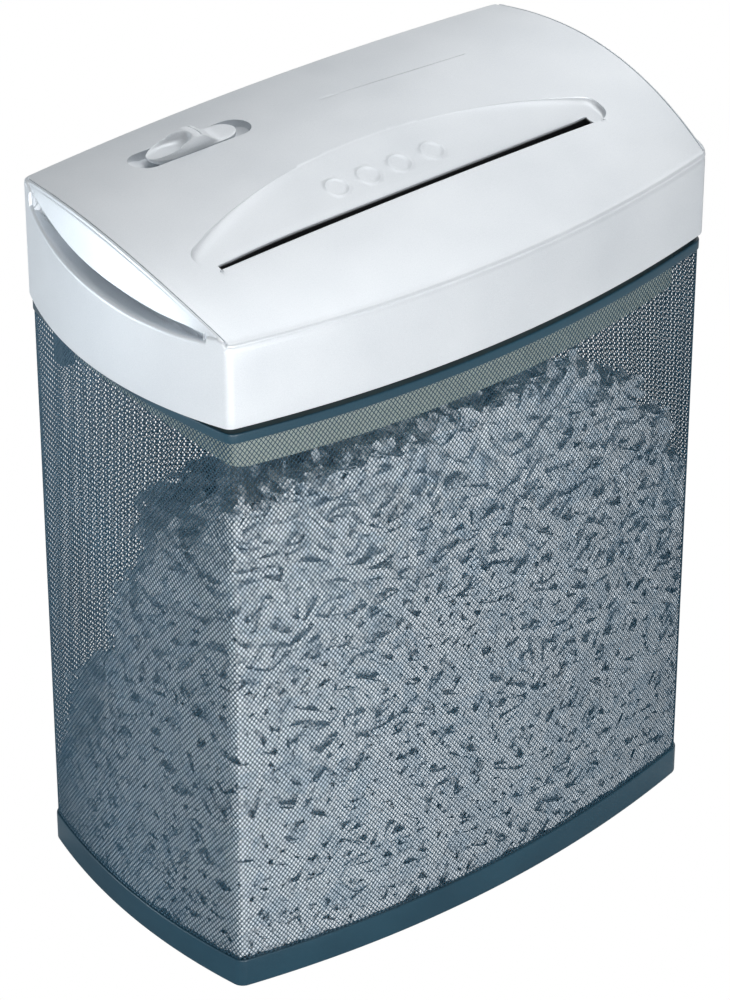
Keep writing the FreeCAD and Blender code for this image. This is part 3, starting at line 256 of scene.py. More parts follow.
# ---------------- materials
class Nodes:
    """A short way to build a material's node tree."""

    def __init__(self, name):
        self.material = bpy.data.materials.new(name)
        self.material.use_nodes = True
        self.tree = self.material.node_tree
        self.shader = self.tree.nodes["Principled BSDF"]

    def add(self, kind, **settings):
        node = self.tree.nodes.new(kind)
        for key, value in settings.items():
            if key in node.inputs:
                node.inputs[key].default_value = value
            else:
                setattr(node, key, value)
        return node

    def link(self, source, target):
        self.tree.links.new(source, target)

    def place(self):
        """Object coordinates, in metres."""
        return self.add("ShaderNodeTexCoord").outputs["Object"]

    def noise(self, size, detail=2.0):
        """Noise with grains of about the given size in millimetres."""
        node = self.add("ShaderNodeTexNoise", Scale=1 / (size * MM), Detail=detail)
        self.link(self.place(), node.inputs["Vector"])
        return node.outputs["Fac"]

    def cells(self, size):
        """A random colour for each cell of about the given size in millimetres."""
        node = self.add("ShaderNodeTexVoronoi", Scale=1 / (size * MM))
        self.link(self.place(), node.inputs["Vector"])
        return node.outputs["Color"]

    def ramp(self, source, stops):
        """A colour ramp from (position, colour) pairs."""
        node = self.add("ShaderNodeValToRGB")
        self.link(source, node.inputs["Fac"])
        marks = node.color_ramp.elements
        while len(marks) < len(stops):
            marks.new(0.5)
        for mark, (position, colour) in zip(marks, stops):
            mark.position = position
            mark.color = (*colour, 1)
        return node.outputs["Color"]

    def span(self, source, low, high, out_low, out_high):
        """A value moved from one range to another."""
        ranges = {"From Min": low, "From Max": high, "To Min": out_low, "To Max": out_high}
        node = self.add("ShaderNodeMapRange", **ranges)
        self.link(source, node.inputs["Value"])
        return node.outputs["Result"]

    def bump(self, source, height):
        """Relief of the given height in millimetres."""
        node = self.add("ShaderNodeBump", Distance=height * MM, Strength=1.0)
        self.link(source, node.inputs["Height"])
        self.link(node.outputs["Normal"], self.shader.inputs["Normal"])


def finish(name, dark, light, grain, roughness, metallic, relief, patch=None):
    """A finish with fine grain in its colour, gloss and surface.

    dark and light are the two ends of its colour, grain the size of its speckle in millimetres, and patch
    the size of the broader, fainter variation.
    """
    nodes = Nodes(name)
    fine = nodes.noise(grain, 3.0)
    broad = nodes.noise(patch or grain * 40, 2.0)
    mixed = nodes.add("ShaderNodeMath", operation="ADD")
    half = nodes.add("ShaderNodeMath", operation="MULTIPLY")
    half.inputs[1].default_value = 0.5
    nodes.link(fine, mixed.inputs[0])
    nodes.link(broad, mixed.inputs[1])
    nodes.link(mixed.outputs[0], half.inputs[0])
    colour = nodes.ramp(half.outputs[0], [(0.35, dark), (0.65, light)])
    gloss = nodes.span(fine, 0.3, 0.7, roughness - 0.05, roughness + 0.05)
    nodes.link(colour, nodes.shader.inputs["Base Color"])
    nodes.link(gloss, nodes.shader.inputs["Roughness"])
    nodes.shader.inputs["Metallic"].default_value = metallic
    nodes.bump(fine, relief)
    return nodes.material


# each finish's dark and light ends, grain, roughness, metallic, relief and, for some, patch size
FINISH_TABLE = {
    "silver_paint": ((0.70, 0.735, 0.77), (0.82, 0.85, 0.88), 0.35, 0.48, 0.35, 0.006, 60),
    "tray_plastic": ((0.40, 0.45, 0.41), (0.47, 0.53, 0.48), 0.8, 0.55, 0.0, 0.02, 40),
    "bin_plastic": ((0.010, 0.045, 0.072), (0.017, 0.066, 0.10), 0.6, 0.34, 0.0, 0.015, 50),
    "mesh_steel": ((0.010, 0.048, 0.080), (0.018, 0.074, 0.120), 0.5, 0.36, 0.3, 0.01, 60),
    "foot_rubber": ((0.012, 0.012, 0.013), (0.03, 0.03, 0.032), 0.5, 0.8, 0.0, 0.03),
    "black_plastic": ((0.012, 0.012, 0.014), (0.028, 0.028, 0.031), 0.6, 0.45, 0.0, 0.02),
    "white_nylon": ((0.72, 0.72, 0.68), (0.82, 0.82, 0.78), 0.7, 0.42, 0.0, 0.01),
    "zinc_steel": ((0.46, 0.48, 0.50), (0.66, 0.68, 0.70), 2.5, 0.34, 1.0, 0.01, 8),
    "cutter_steel": ((0.30, 0.29, 0.28), (0.50, 0.49, 0.48), 0.5, 0.30, 1.0, 0.01, 15),
    "bronze": ((0.42, 0.25, 0.11), (0.56, 0.35, 0.16), 0.5, 0.38, 1.0, 0.02, 6),
    "magnet_ferrite": ((0.04, 0.038, 0.036), (0.075, 0.07, 0.068), 0.4, 0.7, 0.0, 0.03),
    "carbon": ((0.015, 0.015, 0.015), (0.05, 0.05, 0.05), 0.3, 0.75, 0.1, 0.02),
    "copper": ((0.60, 0.24, 0.12), (0.78, 0.36, 0.20), 0.4, 0.28, 1.0, 0.01, 5),
    "board_green": ((0.01, 0.09, 0.03), (0.02, 0.15, 0.05), 3.0, 0.4, 0.0, 0.01, 12),
    "relay_blue": ((0.02, 0.07, 0.26), (0.03, 0.10, 0.34), 0.6, 0.4, 0.0, 0.01),
}
FINISHES = {name: finish(name, *settings) for name, settings in FINISH_TABLE.items()}


def paper_material():
    """Office paper seen from both sides: white with a cool cast, faint print on some of the pieces."""
    nodes = Nodes("shredded_paper")
    tint = nodes.ramp(nodes.cells(9.0), [(0.15, (0.66, 0.74, 0.81)), (0.55, (0.86, 0.91, 0.95))])
    nodes.link(tint, nodes.shader.inputs["Base Color"])
    nodes.shader.inputs["Roughness"].default_value = 0.85
    nodes.shader.inputs["Specular IOR Level"].default_value = 0.2
    nodes.bump(nodes.noise(0.3, 3.0), 0.02)
    return nodes.material


FINISHES["shredded_paper"] = paper_material()


def dress_nodes():
    """Give every CAD node the finish of its material slot."""
    for row in frame["record"]["subparts"]:
        item = frame["nodes"][row["node"]]
        item.data.materials.clear()
        item.data.materials.append(FINISHES[row["material_slot"]])


# ---------------- the head's top surface
HALF_WIDTH, HALF_DEPTH = HEAD_SIZE[0] / 2, HEAD_SIZE[1] / 2
END_BOW, LENS_BOW, SIDE_BOW = 7.0, 11.0, HEAD_BOWS[1]
RIM_ROUND = 1.6
EDGE_ROUND = 0.8
SEAM = {"near": 0.9, "far": 1.5, "deep": 1.2}
# heights along an end, against the place along it from the front corner (-1) to the back one (1)
LENS_TABLE = ((-1, -0.95, -0.74, -0.47, -0.17, 0.1, 0.34, 0.46, 0.69, 0.83, 1),
              (375.0, 376.6, 378.4, 377.9, 378.8, 380.0, 382.2, 384.0, 388.5, 391.6, 392.4))
RIM_TABLE = ((-1, -0.62, -0.36, -0.07, 0.26, 0.62, 0.88, 1),
             (376, 373.4, 373, 374, 376.2, 380.5, 385.7, 391))
UNDERCUT, GRIP_DIP, LENS_THICK = 9.0, 4.5, 2.0
# a soft line under the front edge, as (inset, distance down)
FRONT_LINE = ((0.35, 0.5), (0.6, 1.1), (0.45, 1.9), (0.15, 2.8), (0.0, 3.8))
FLOOR_SHARE, WALL_SHARE = 0.6, 0.2
RECESS_X, RECESS_HALF, RECESS_ROUND = -5.5, 123.0, 8.0
RECESS_FRONT, RECESS_BACK, RECESS_RADIUS = -38.2, 8.0, 264.8
RECESS_DEEP = 5.2
RECESS_SLOPE, RECESS_BLEND = 0.17, 0.5
# the width of its wall, against y
RECESS_WALL = ((-37.0, -28.0, -10.0), (0.7, 4.0, 7.0))
# its round corners' centres lie at RECESS_X +- RECESS_REACH, from RECESS_LOW to RECESS_HIGH
RECESS_LOW = RECESS_FRONT + RECESS_ROUND
RECESS_REACH = RECESS_HALF - RECESS_ROUND
ARC_Y = RECESS_BACK - RECESS_RADIUS
ARC_RADIUS = RECESS_RADIUS - RECESS_ROUND
RECESS_HIGH = ARC_Y + math.sqrt(ARC_RADIUS**2 - RECESS_REACH**2)
ARC_TURN = math.atan2(RECESS_REACH, RECESS_HIGH - ARC_Y)
SLOT_FRONT, SLOT_REAR = -38.0, -29.7
SLOT_LEFT, SLOT_RIGHT = -118.5, 107.5
SLOT_TAPER, SLOT_TAPER_END = 2.6, -62.0
SLOT_LIP = 0.5
REAR_DIP = {"wide": 5.0, "deep": 0.6, "fade": 8.0}
# the black sleeve inside the slot, painted shade that darkens the slot's opening, as (distance in from the
# slot's edge, depth under that edge)
SHADE_SLEEVE_PROFILE = ((0.6, 0.15), (0.6, 2.0), (1.0, 4.2), (0.3, 4.2), (0.05, 2.0), (0.05, 0.15))
WELL_Y, WELL_LEFT, WELL_RIGHT, WELL_HALF = 55.75, -104.0, -34.5, 9.3
WELL_FLOOR = 393.0
# the share of its depth, along its length, and the width of its walls' rounding
WELL_RAMPS = ((WELL_LEFT, WELL_LEFT + 11, WELL_RIGHT - 5, WELL_RIGHT), (0.12, 1.0, 1.0, 0.6))
WELL_ROUND = 0.7
STEM_BOX = (-80.0, 53.25, -58.0, 58.25)
ICON_X, ICON_Y = (-35.0, -16.0, 3.0, 23.0), -15.0
ICON_RINGS = (5.0, 5.4, 6.1, 6.5)
ICON_RAISE = 0.2
LINE_START, LINE_END = (7.0, 52.0), (91.0, 44.0)
LINE_DEEP, LINE_HALF = 0.4, 0.25
LINE_FADE = ((0, 0.3, 1), (0.2, 1, 1))
# where the rows of points along each edge lie: distances from it, or shares of the way across
SEAM_ROWS = (-SEAM["far"] - 0.3, -SEAM["far"], -SEAM["far"] + 0.1, -SEAM["near"] - 0.1, -SEAM["near"])
PANEL_ROWS = (-0.7, -0.5, -0.3, -0.15, -0.04, 0.0)
LENS_ROWS = (0.25, 0.5, 0.75)
GRIP_ROWS = (0.0, 0.07, 0.13, 0.2, 0.3, 0.4, 0.5, 0.62, 0.74, 0.86, 0.94)
RECESS_ROWS = (0.0, 0.03, 0.12, 0.3, 0.6, 1.0, 1.5, 2.1, 2.8, 3.6)
SLOT_ROWS = (0.0, 0.05, 0.14, 0.3, SLOT_LIP, 1.2, 2.2, 3.5)
WELL_ROWS = (0.0, 0.03, 0.12, 0.3, 0.6, 0.9, 1.2)
# the points between them: their spacing, and how far they stay from the rows and the rim
FILL_SPACING, FILL_CLEAR, FILL_MARGIN, CURVE_CLEAR = 2.2, 0.9, 1.0, 0.12
SHELL_THICK, BOTTOM_ROUND = 2.0, 0.8
# how far down the walls of the slot and of the stem's hole go
SLOT_WALL, STEM_WALL = (1.5, 5), (1.5,)


def panel_height(x, y):
    """The arched top, before anything is cut into it."""
    across = 1 - (x / HALF_WIDTH) ** 2
    front = MIDDLE - HALF_DEPTH - HEAD_BOWS[0] * across
    back = MIDDLE + HALF_DEPTH + HEAD_BOWS[2] * across
    share = (y - front) / (back - front)
    rise = FRONT_HEIGHT + (BACK_HEIGHT - FRONT_HEIGHT) * share + 4 * ARCH * share * (1 - share)
    return HEAD_BOTTOM + rise


def end_circle(bow):
    """Centre, for the right end, and radius of an arc through the head's corners."""
    radius = (HALF_DEPTH**2 + bow**2) / (2 * bow)
    return HALF_WIDTH + bow - radius, radius


def beyond_end(x, y, bow):
    """Distance outside such an arc, at either end."""
    centre, radius = end_circle(bow)
    return np.hypot(np.abs(x) - centre, y - MIDDLE) - radius


def lens_height(x, y, edge):
    """The steep lens-shaped face outside a panel's end, from the panel's edge down to its own."""
    past_edge = beyond_end(x, y, END_BOW)
    face = np.maximum(past_edge - beyond_end(x, y, LENS_BOW), 0.25)
    low = np.minimum(smooth_table((y - MIDDLE) / HALF_DEPTH, *LENS_TABLE), edge)
    return edge - (edge - low) * np.clip(past_edge / face, 0, 1)


def finger_grip(x, y, edge):
    """The hollow under the lens's edge: how far each point moves inwards, and its height.

    From the rim its floor falls inwards, then a wall climbs to the underside of the lens.
    """
    along = (y - MIDDLE) / HALF_DEPTH
    middle = np.clip(1 - along**2, 0, 1)
    from_lens = np.maximum(beyond_end(x, y, LENS_BOW), 0)
    from_rim = np.maximum(-beyond_end(x, y, SIDE_BOW) - RIM_ROUND, 0)
    gap = np.maximum(from_lens + from_rim, 0.2)
    share = from_rim / gap
    reach = gap + UNDERCUT * middle
    floor = np.clip(share / FLOOR_SHARE, 0, 1)
    wall = np.clip((share - FLOOR_SHARE) / WALL_SHARE, 0, 1)
    under = np.clip((share - FLOOR_SHARE - WALL_SHARE) / (1 - FLOOR_SHARE - WALL_SHARE), 0, 1)
    rim = smooth_table(along, *RIM_TABLE)
    lens = np.minimum(smooth_table(along, *LENS_TABLE), edge)
    bottom = rim - GRIP_DIP * middle * floor
    z = bottom + (lens - LENS_THICK * middle - bottom) * wall + LENS_THICK * middle * under
    return reach * floor - (reach - gap) * under - from_rim, z


def recess_inside(x, y):
    """Distance inside the rounded edge of the hollow behind the paper entry."""
    side = np.abs(x - RECESS_X)
    from_arc = np.hypot(side, y - ARC_Y) - ARC_RADIUS
    outside = np.maximum(np.maximum(RECESS_LOW - y, side - RECESS_REACH), from_arc)
    past_side = side > RECESS_REACH
    at_back = (y > RECESS_HIGH) & (np.arctan2(side, y - ARC_Y) > ARC_TURN) & past_side
    outside = np.where(at_back, np.hypot(side - RECESS_REACH, y - RECESS_HIGH), outside)
    at_front = (y < RECESS_LOW) & past_side
    outside = np.where(at_front, np.hypot(side - RECESS_REACH, y - RECESS_LOW), outside)
    return RECESS_ROUND - outside


def recess_loop(inside):
    """A closed loop of plan points at a distance inside the hollow's edge."""
    grow = RECESS_ROUND - inside
    corner_x = RECESS_X + RECESS_REACH
    right = [(corner_x, RECESS_LOW, turn) for turn in np.linspace(-math.pi / 2, 0, 14)]
    right += [(corner_x, RECESS_HIGH, turn) for turn in np.linspace(0, math.pi / 2 - ARC_TURN, 8)]
    points = [(cx + grow * math.cos(turn), cy + grow * math.sin(turn)) for cx, cy, turn in right]
    left = [(2 * RECESS_X - px, py) for px, py in reversed(points)]
    radius = ARC_RADIUS + grow
    for turn in np.linspace(ARC_TURN, -ARC_TURN, 150)[1:-1]:
        points.append((RECESS_X + radius * math.sin(turn), ARC_Y + radius * math.cos(turn)))
    points += left
    front_xs = np.linspace(RECESS_X - RECESS_REACH, RECESS_X + RECESS_REACH, 150)[1:-1]
    points += [(px, RECESS_LOW - grow) for px in front_xs]
    return np.array(points)


def past_well(x, y):
    """Distance outside the switch well, a bar with round ends."""
    along = np.clip(x, WELL_LEFT + WELL_HALF, WELL_RIGHT - WELL_HALF)
    return np.hypot(x - along, y - WELL_Y) - WELL_HALF


def well_loop(inside, steps=50, end_steps=24):
    """A closed loop of plan points at a distance inside the switch well's edge."""
    size = WELL_HALF - inside
    left, right = WELL_LEFT + WELL_HALF, WELL_RIGHT - WELL_HALF
    turns = np.linspace(-math.pi / 2, math.pi / 2, end_steps)
    points = [(right + size * math.cos(turn), WELL_Y + size * math.sin(turn)) for turn in turns]
    points += [(x, WELL_Y + size) for x in np.linspace(right, left, steps)[1:-1]]
    points += [(left - size * math.cos(turn), WELL_Y - size * math.sin(turn)) for turn in turns]
    points += [(x, WELL_Y - size) for x in np.linspace(left, right, steps)[1:-1]]
    return np.array(points)


def slot_rear(x):
    """The back edge of the paper slot, which closes up a little towards its left end."""
    share = np.clip((SLOT_TAPER_END - x) / (SLOT_TAPER_END - SLOT_LEFT), 0, 1)
    return SLOT_REAR - SLOT_TAPER * share**2


def past_slot(x, y):
    """Distance outside the paper slot, negative within it."""
    past_x = np.maximum(SLOT_LEFT - x, x - SLOT_RIGHT)
    past_y = np.maximum(SLOT_FRONT - y, y - slot_rear(x))
    outside = np.hypot(np.maximum(past_x, 0), np.maximum(past_y, 0))
    return np.where(outside > 0, outside, np.maximum(past_x, past_y))


def slot_loop(grow):
    """A closed loop of plan points round the slot."""
    xs = np.linspace(SLOT_LEFT - grow, SLOT_RIGHT + grow, 150)
    points = [(x, SLOT_FRONT - grow) for x in xs]
    points += [(x, float(slot_rear(x)) + grow) for x in xs[::-1]]
    return np.array(points)


def recess_height(x, y, panel):
    """The hollow's floor, which falls to the paper slot, and its walls."""
    inside = recess_inside(x, y)
    reach = RECESS_BACK - y
    top = panel_height(RECESS_X, RECESS_BACK)
    fall = top - (panel_height(RECESS_X, RECESS_FRONT) - RECESS_DEEP)
    run = RECESS_BACK - RECESS_FRONT
    floor = top - RECESS_SLOPE * reach - (fall - RECESS_SLOPE * run) / run**2 * reach**2
    depth = np.maximum(panel - smooth_min(panel, floor, RECESS_BLEND), 0)
    share = np.clip(inside / np.interp(y, *RECESS_WALL), 0, 1)
    profile = np.sqrt(np.clip(1 - (1 - share) ** 2, 0, 1))
    return np.where(inside > 0, panel - depth * profile, panel)


def top_height(x, y):
    """The finished top surface, less the rounding of its outer rim."""
    x, y = np.asarray(x, float), np.asarray(y, float)
    panel = panel_height(x, y)
    past_edge = beyond_end(x, y, END_BOW)
    shoulder = panel - round_drop(-past_edge, EDGE_ROUND)
    z = np.where(past_edge < 0, shoulder, lens_height(x, y, panel - EDGE_ROUND))
    z = z - np.interp(past_edge, SEAM_ROWS[1:], (0, SEAM["deep"], SEAM["deep"], 0))
    z = np.where(recess_inside(x, y) > 0, recess_height(x, y, panel), z)
    for icon_x in ICON_X:
        z = z + np.interp(np.hypot(x - icon_x, y - ICON_Y), ICON_RINGS, (0, ICON_RAISE, ICON_RAISE, 0))
    behind = y - slot_rear(x)
    from_end = np.clip(np.minimum(x - SLOT_LEFT, SLOT_RIGHT - x) / REAR_DIP["fade"], 0, 1)
    dip = np.where(behind > -0.01, np.clip(1 - behind / REAR_DIP["wide"], 0, 1) ** 2, 0)
    z = z - round_drop(past_slot(x, y), SLOT_LIP) - REAR_DIP["deep"] * dip * from_end
    in_well = -past_well(x, y)
    deep = (panel - WELL_FLOOR) * np.interp(x, *WELL_RAMPS)
    profile = np.sqrt(np.clip(1 - (1 - np.clip(in_well / WELL_ROUND, 0, 1)) ** 2, 0, 1))
    z = np.where(in_well > 0, panel - deep * profile, z)
    start, end = np.array(LINE_START), np.array(LINE_END)
    span = end - start
    share = np.clip(((x - start[0]) * span[0] + (y - start[1]) * span[1]) / (span @ span), 0, 1)
    off_line = np.hypot(x - start[0] - share * span[0], y - start[1] - share * span[1])
    return z - np.interp(off_line, (0, LINE_HALF), (LINE_DEEP, 0)) * np.interp(share, *LINE_FADE)


def end_curves():
    """Plan points along the creases at both ends of the panel."""
    curves = []
    bows = [(END_BOW, SEAM_ROWS + PANEL_ROWS)]
    bows += [(END_BOW + (LENS_BOW - END_BOW) * share, (0.0,)) for share in LENS_ROWS]
    bows += [(LENS_BOW + (SIDE_BOW - RIM_ROUND - LENS_BOW) * share, (0.0,)) for share in GRIP_ROWS]
    for bow, offsets in bows:
        centre, radius = end_circle(bow)
        limit = math.asin(HALF_DEPTH / radius)
        for offset in offsets:
            turns = np.linspace(-limit, limit, 150)
            for sign in (-1, 1):
                xs = sign * (centre + (radius + offset) * np.cos(turns))
                curves.append((np.stack([xs, MIDDLE + (radius + offset) * np.sin(turns)], axis=-1), False))
    return curves


def feature_curves():
    """Every crease of the top surface as (plan points, closed)."""
    curves = end_curves()
    curves += [(recess_loop(inside), True) for inside in RECESS_ROWS]
    curves += [(slot_loop(outside), True) for outside in SLOT_ROWS]
    curves += [(well_loop(inside), True) for inside in WELL_ROWS]
    curves.append((box_loop(*STEM_BOX), True))
    turns = np.linspace(0, 2 * math.pi, 48, endpoint=False)
    for icon_x in ICON_X:
        for radius in ICON_RINGS:
            circle = np.stack([icon_x + radius * np.cos(turns), ICON_Y + radius * np.sin(turns)], axis=-1)
            curves.append((circle, True))
    start, end = np.array(LINE_START), np.array(LINE_END)
    across = np.array((end[1] - start[1], start[0] - end[0])) / np.linalg.norm(end - start)
    for side in (-1, 0, 1):
        shares = np.linspace(0, 1, 60)[:, None]
        curves.append((start + (end - start) * shares + across * LINE_HALF * side, False))
    return curves


def top_points(flat):
    """The top surface over plan points, with the finger grips drawn in under the lenses."""
    x, y = flat[:, 0], flat[:, 1]
    z = top_height(x, y)
    inward, grip = finger_grip(x, y, panel_height(x, y) - EDGE_ROUND)
    outside = beyond_end(x, y, LENS_BOW) > 0
    centre, _ = end_circle(LENS_BOW)
    to_middle = np.stack([np.sign(x) * centre - x, MIDDLE - y], axis=-1)
    to_middle /= np.linalg.norm(to_middle, axis=-1)[:, None]
    plan = flat + to_middle * np.where(outside, inward, 0)[:, None]
    return np.column_stack([plan, np.where(outside, grip, z)])


def top_plan(ring):
    """Plan points of the top within a ring, and the triangles between them.

    The ring's points come first. The paper slot and the hole for the slider's stem are left open.
    """
    points = [tuple(point) for point in ring]
    edges = [(number, (number + 1) % len(ring)) for number in range(len(ring))]
    for curve, closed in feature_curves():
        pulled = HEAD.pull_inside(curve, RIM_ROUND + CURVE_CLEAR)
        keep = np.linalg.norm(pulled - curve, axis=-1) < 1e-9
        numbers = []
        for point, good in zip(curve, keep):
            numbers.append(len(points) if good else None)
            if good:
                points.append(tuple(point))
        pairs = list(zip(numbers, numbers[1:])) + ([(numbers[-1], numbers[0])] if closed else [])
        edges += [pair for pair in pairs if None not in pair]
    tree = plan_tree(points)
    xs = np.arange(-170, 171, FILL_SPACING)
    ys = np.arange(-95, 105, FILL_SPACING * 0.866)
    fill = np.array([(x + FILL_SPACING / 2 * (row % 2), y) for row, y in enumerate(ys) for x in xs])
    inside = np.linalg.norm(HEAD.pull_inside(fill, RIM_ROUND + FILL_MARGIN) - fill, axis=-1) < 1e-9
    for point in fill[inside]:
        if tree.find((*point, 0))[2] > FILL_CLEAR:
            points.append(tuple(point))
    flat, _, triangles, *_ = geometry.delaunay_2d_cdt([Vector(p) for p in points], edges, [], 0, 1e-5)
    flat = np.array([tuple(p) for p in flat])
    faces = []
    for triangle in triangles:
        x, y = flat[list(triangle)].mean(axis=0)
        in_stem = STEM_BOX[0] < x < STEM_BOX[2] and STEM_BOX[1] < y < STEM_BOX[3]
        if past_slot(x, y) >= 0 and not in_stem:
            faces.append(tuple(triangle))
    return flat, faces


def casing_wall(base, outward):
    """Rings of points from the top's rim, round its edge, down the wall and in under it."""
    rim = top_points(base - outward * RIM_ROUND)[:, 2]
    loops = []
    for turn in np.linspace(0, math.pi / 2, 6)[1:]:
        plan = base - outward * RIM_ROUND * (1 - math.sin(turn))
        loops.append(np.column_stack([plan, rim - RIM_ROUND * (1 - math.cos(turn))]))
    edge = loops[-1][:, 2]
    in_front = np.clip(-outward[:, 1] * 3 - 1.5, 0, 1)
    for inset, down in FRONT_LINE:
        plan = base - outward * (inset * in_front)[:, None]
        loops.append(np.column_stack([plan, edge - down]))
    wall_top = loops[-1][:, 2]
    wall_bottom = HEAD_BOTTOM + BOTTOM_ROUND
    for share in np.linspace(0, 1, 7)[1:]:
        loops.append(np.column_stack([base, wall_top + (wall_bottom - wall_top) * share]))
    for turn in np.linspace(0, math.pi / 2, 5)[1:]:
        plan = base - outward * BOTTOM_ROUND * (1 - math.cos(turn))
        height = HEAD_BOTTOM + BOTTOM_ROUND * (1 - math.sin(turn))
        loops.append(np.column_stack([plan, np.full(len(base), height)]))
    return loops


def join_loops(shell, faces, first, loops):
    """Add loops of points to a shell, joined to each other and to a first loop of its own points."""
    rows = [first]
    for loop in loops:
        rows.append(list(range(len(shell), len(shell) + len(loop))))
        shell.extend(tuple(point) for point in loop)
    for upper, lower in zip(rows, rows[1:]):
        for station in range(len(first)):
            after = (station + 1) % len(first)
            faces.append((upper[station], lower[station], lower[after], upper[after]))


def head_casing():
    """The whole silver casing as one shell: its top, its wall, and the wall of the paper slot."""
    base, outward = HEAD.at(HEAD.stations(2.0, 0.5, 14.0))
    ring = base - outward * RIM_ROUND
    flat, faces = top_plan(ring)
    shell = [tuple(point) for point in top_points(flat)]
    tree = plan_tree(flat)
    start = [tree.find((*point, 0))[1] for point in ring]
    join_loops(shell, faces, start, casing_wall(base, outward))
    for loop, depths in ((slot_loop(0.0), SLOT_WALL), (box_loop(*STEM_BOX), STEM_WALL)):
        first = [tree.find((*point, 0))[1] for point in loop][::-1]
        level = np.array([shell[number][2] for number in first])
        join_loops(shell, faces, first, [np.column_stack([loop[::-1], level - depth]) for depth in depths])
    casing = add_object("head_casing", shell, faces, "silver_paint", "head", sharp=38)
    wall = casing.modifiers.new("wall", "SOLIDIFY")
    wall.thickness = SHELL_THICK * MM
    wall.offset = -1
    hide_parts("top_housing")


def throat_painted_shade():
    """A black sleeve that lines the paper entry, from just under its edge down to the throat: painted
    shade, dark plastic set where the slot's opening only lies in shade.
    """
    edge = slot_loop(0.0)
    level = top_height(edge[:, 0], edge[:, 1])
    points = []
    for narrow, depth in SHADE_SLEEVE_PROFILE:
        points += np.column_stack([slot_loop(-narrow), level - depth]).tolist()
    faces = ring_faces(len(SHADE_SLEEVE_PROFILE), len(edge), closed_rings=True)
    # painted shade: black plastic down the slot's walls, so the opening reads dark
    shade_sleeve = add_object("throat_painted_shade", points, faces, "black_plastic", "head", sharp=40)


# ---------------- slide switch
SLIDER_LEFT, SLIDER_RIGHT, SLIDER_HALF = -94.5, -43.0, 7.8
SLIDER_COLUMNS, SLIDER_ROWS = 130, 33
# the length and the power of its two round ends
LEFT_ROUND, RIGHT_ROUND = (15.0, 2.2), (12.0, 2.4)
# the slider's height above the panel, along its length
SLIDER_TOP = ((-94.5, -90, -85, -80, -76, -72, -69.5, -66, -63, -60, -57, -53, -43),
              (0.5, 1.6, 2.8, 4.0, 5.0, 5.9, 6.2, 6.0, 4.8, 2.6, 1.2, 0.7, 0.5))
FOOT = 0.4
SHOULDER = 0.78
SLIDER_EDGE = 0.3
# the thumb's bowl: its middle, reach to either side, share of the width, roundness and floor
BOWL = {"x": -85.5, "reach": 16.0, "width": 0.84, "power": 2.4, "floor": 0.5}
# the bent groove beside the crest: where it starts, how far it bends, its depth and half its width
GROOVE = {"x": -67.0, "bend": 2.2, "deep": 0.9, "half": 0.4, "from": -0.6}
SLIDER_UNDER = 393.3
# the underside rises over this length at both ends, to clear the well's ends when the slider moves
UNDER_RISE = 12.5
END_UNDER, THINNEST, NARROWEST = 0.55, 0.2, 0.25
STEM_PLAN = (-71.0, 53.75, -67.0, 57.75)
STEM_HEIGHTS = (383.6, SLIDER_UNDER + 1)


def round_end(distance, length, power):
    """The share of its full width that the slider has at a distance from a round end."""
    return np.sqrt(1 - (1 - np.clip(distance / length, 0, 1)) ** power)


def slider_height(x, across, width):
    """The slider's top across its width, at one place along it."""
    slope = np.clip((np.abs(across) - SHOULDER) / (1 - SHOULDER), 0, 1)
    hull = FOOT + (smooth_table(x, *SLIDER_TOP) - FOOT) * (1 - slope**2 * (3 - 2 * slope))
    power = BOWL["power"]
    along = abs((x - BOWL["x"]) / BOWL["reach"])
    radius = (along**power + np.abs(across / BOWL["width"]) ** power) ** (1 / power)
    bowl = BOWL["floor"] + (hull - BOWL["floor"]) * np.clip(radius, 0, 1) ** 5
    height = panel_height(x, WELL_Y) + np.minimum(hull, bowl)
    height = height - round_drop((1 - np.abs(across)) * width, SLIDER_EDGE)
    off_groove = x - GROOVE["x"] - GROOVE["bend"] * (1 - across**2)
    groove = np.exp(-((off_groove / GROOVE["half"]) ** 2)) * (across > GROOVE["from"])
    return height - GROOVE["deep"] * groove


def slide_button():
    """The boat-shaped slider: a thumb scoop on its left, a crest, and a low tail on its right."""
    xs = np.linspace(SLIDER_LEFT, SLIDER_RIGHT, SLIDER_COLUMNS)
    half = SLIDER_HALF * round_end(xs - SLIDER_LEFT, *LEFT_ROUND)
    half = np.maximum(half * round_end(SLIDER_RIGHT - xs, *RIGHT_ROUND), NARROWEST)
    across = np.sin(np.linspace(-math.pi / 2, math.pi / 2, SLIDER_ROWS))
    points = []
    for x, width in zip(xs, half):
        from_end = min(x - SLIDER_LEFT, SLIDER_RIGHT - x)
        end_under = panel_height(x, WELL_Y) - END_UNDER
        under = SLIDER_UNDER + (end_under - SLIDER_UNDER) * np.clip(1 - from_end / UNDER_RISE, 0, 1)
        top = slider_height(x, across, width)
        ys = WELL_Y + across * width
        points += [(x, y, z) for y, z in zip(ys[::-1], top[::-1])]
        points += [(x, y, z) for y, z in zip(ys, np.minimum(under, top - THINNEST))]
    faces = ring_faces(SLIDER_COLUMNS, 2 * SLIDER_ROWS) + cap_faces(SLIDER_COLUMNS, 2 * SLIDER_ROWS)
    button = add_object("slide_button", points, faces, "silver_paint", "slider", sharp=50)
    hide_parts("switch_slider")


def slider_stem():
    """The leg that carries the slider's motion down to the switch."""
    corners = [(x, y, z) for z in STEM_HEIGHTS for x, y in box_loop(*STEM_PLAN)]
    sides = ring_faces(2, 4) + cap_faces(2, 4)
    stem = add_object("slider_stem", corners, sides, "silver_paint", "slider", sharp=50)
    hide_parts("switch_slider")


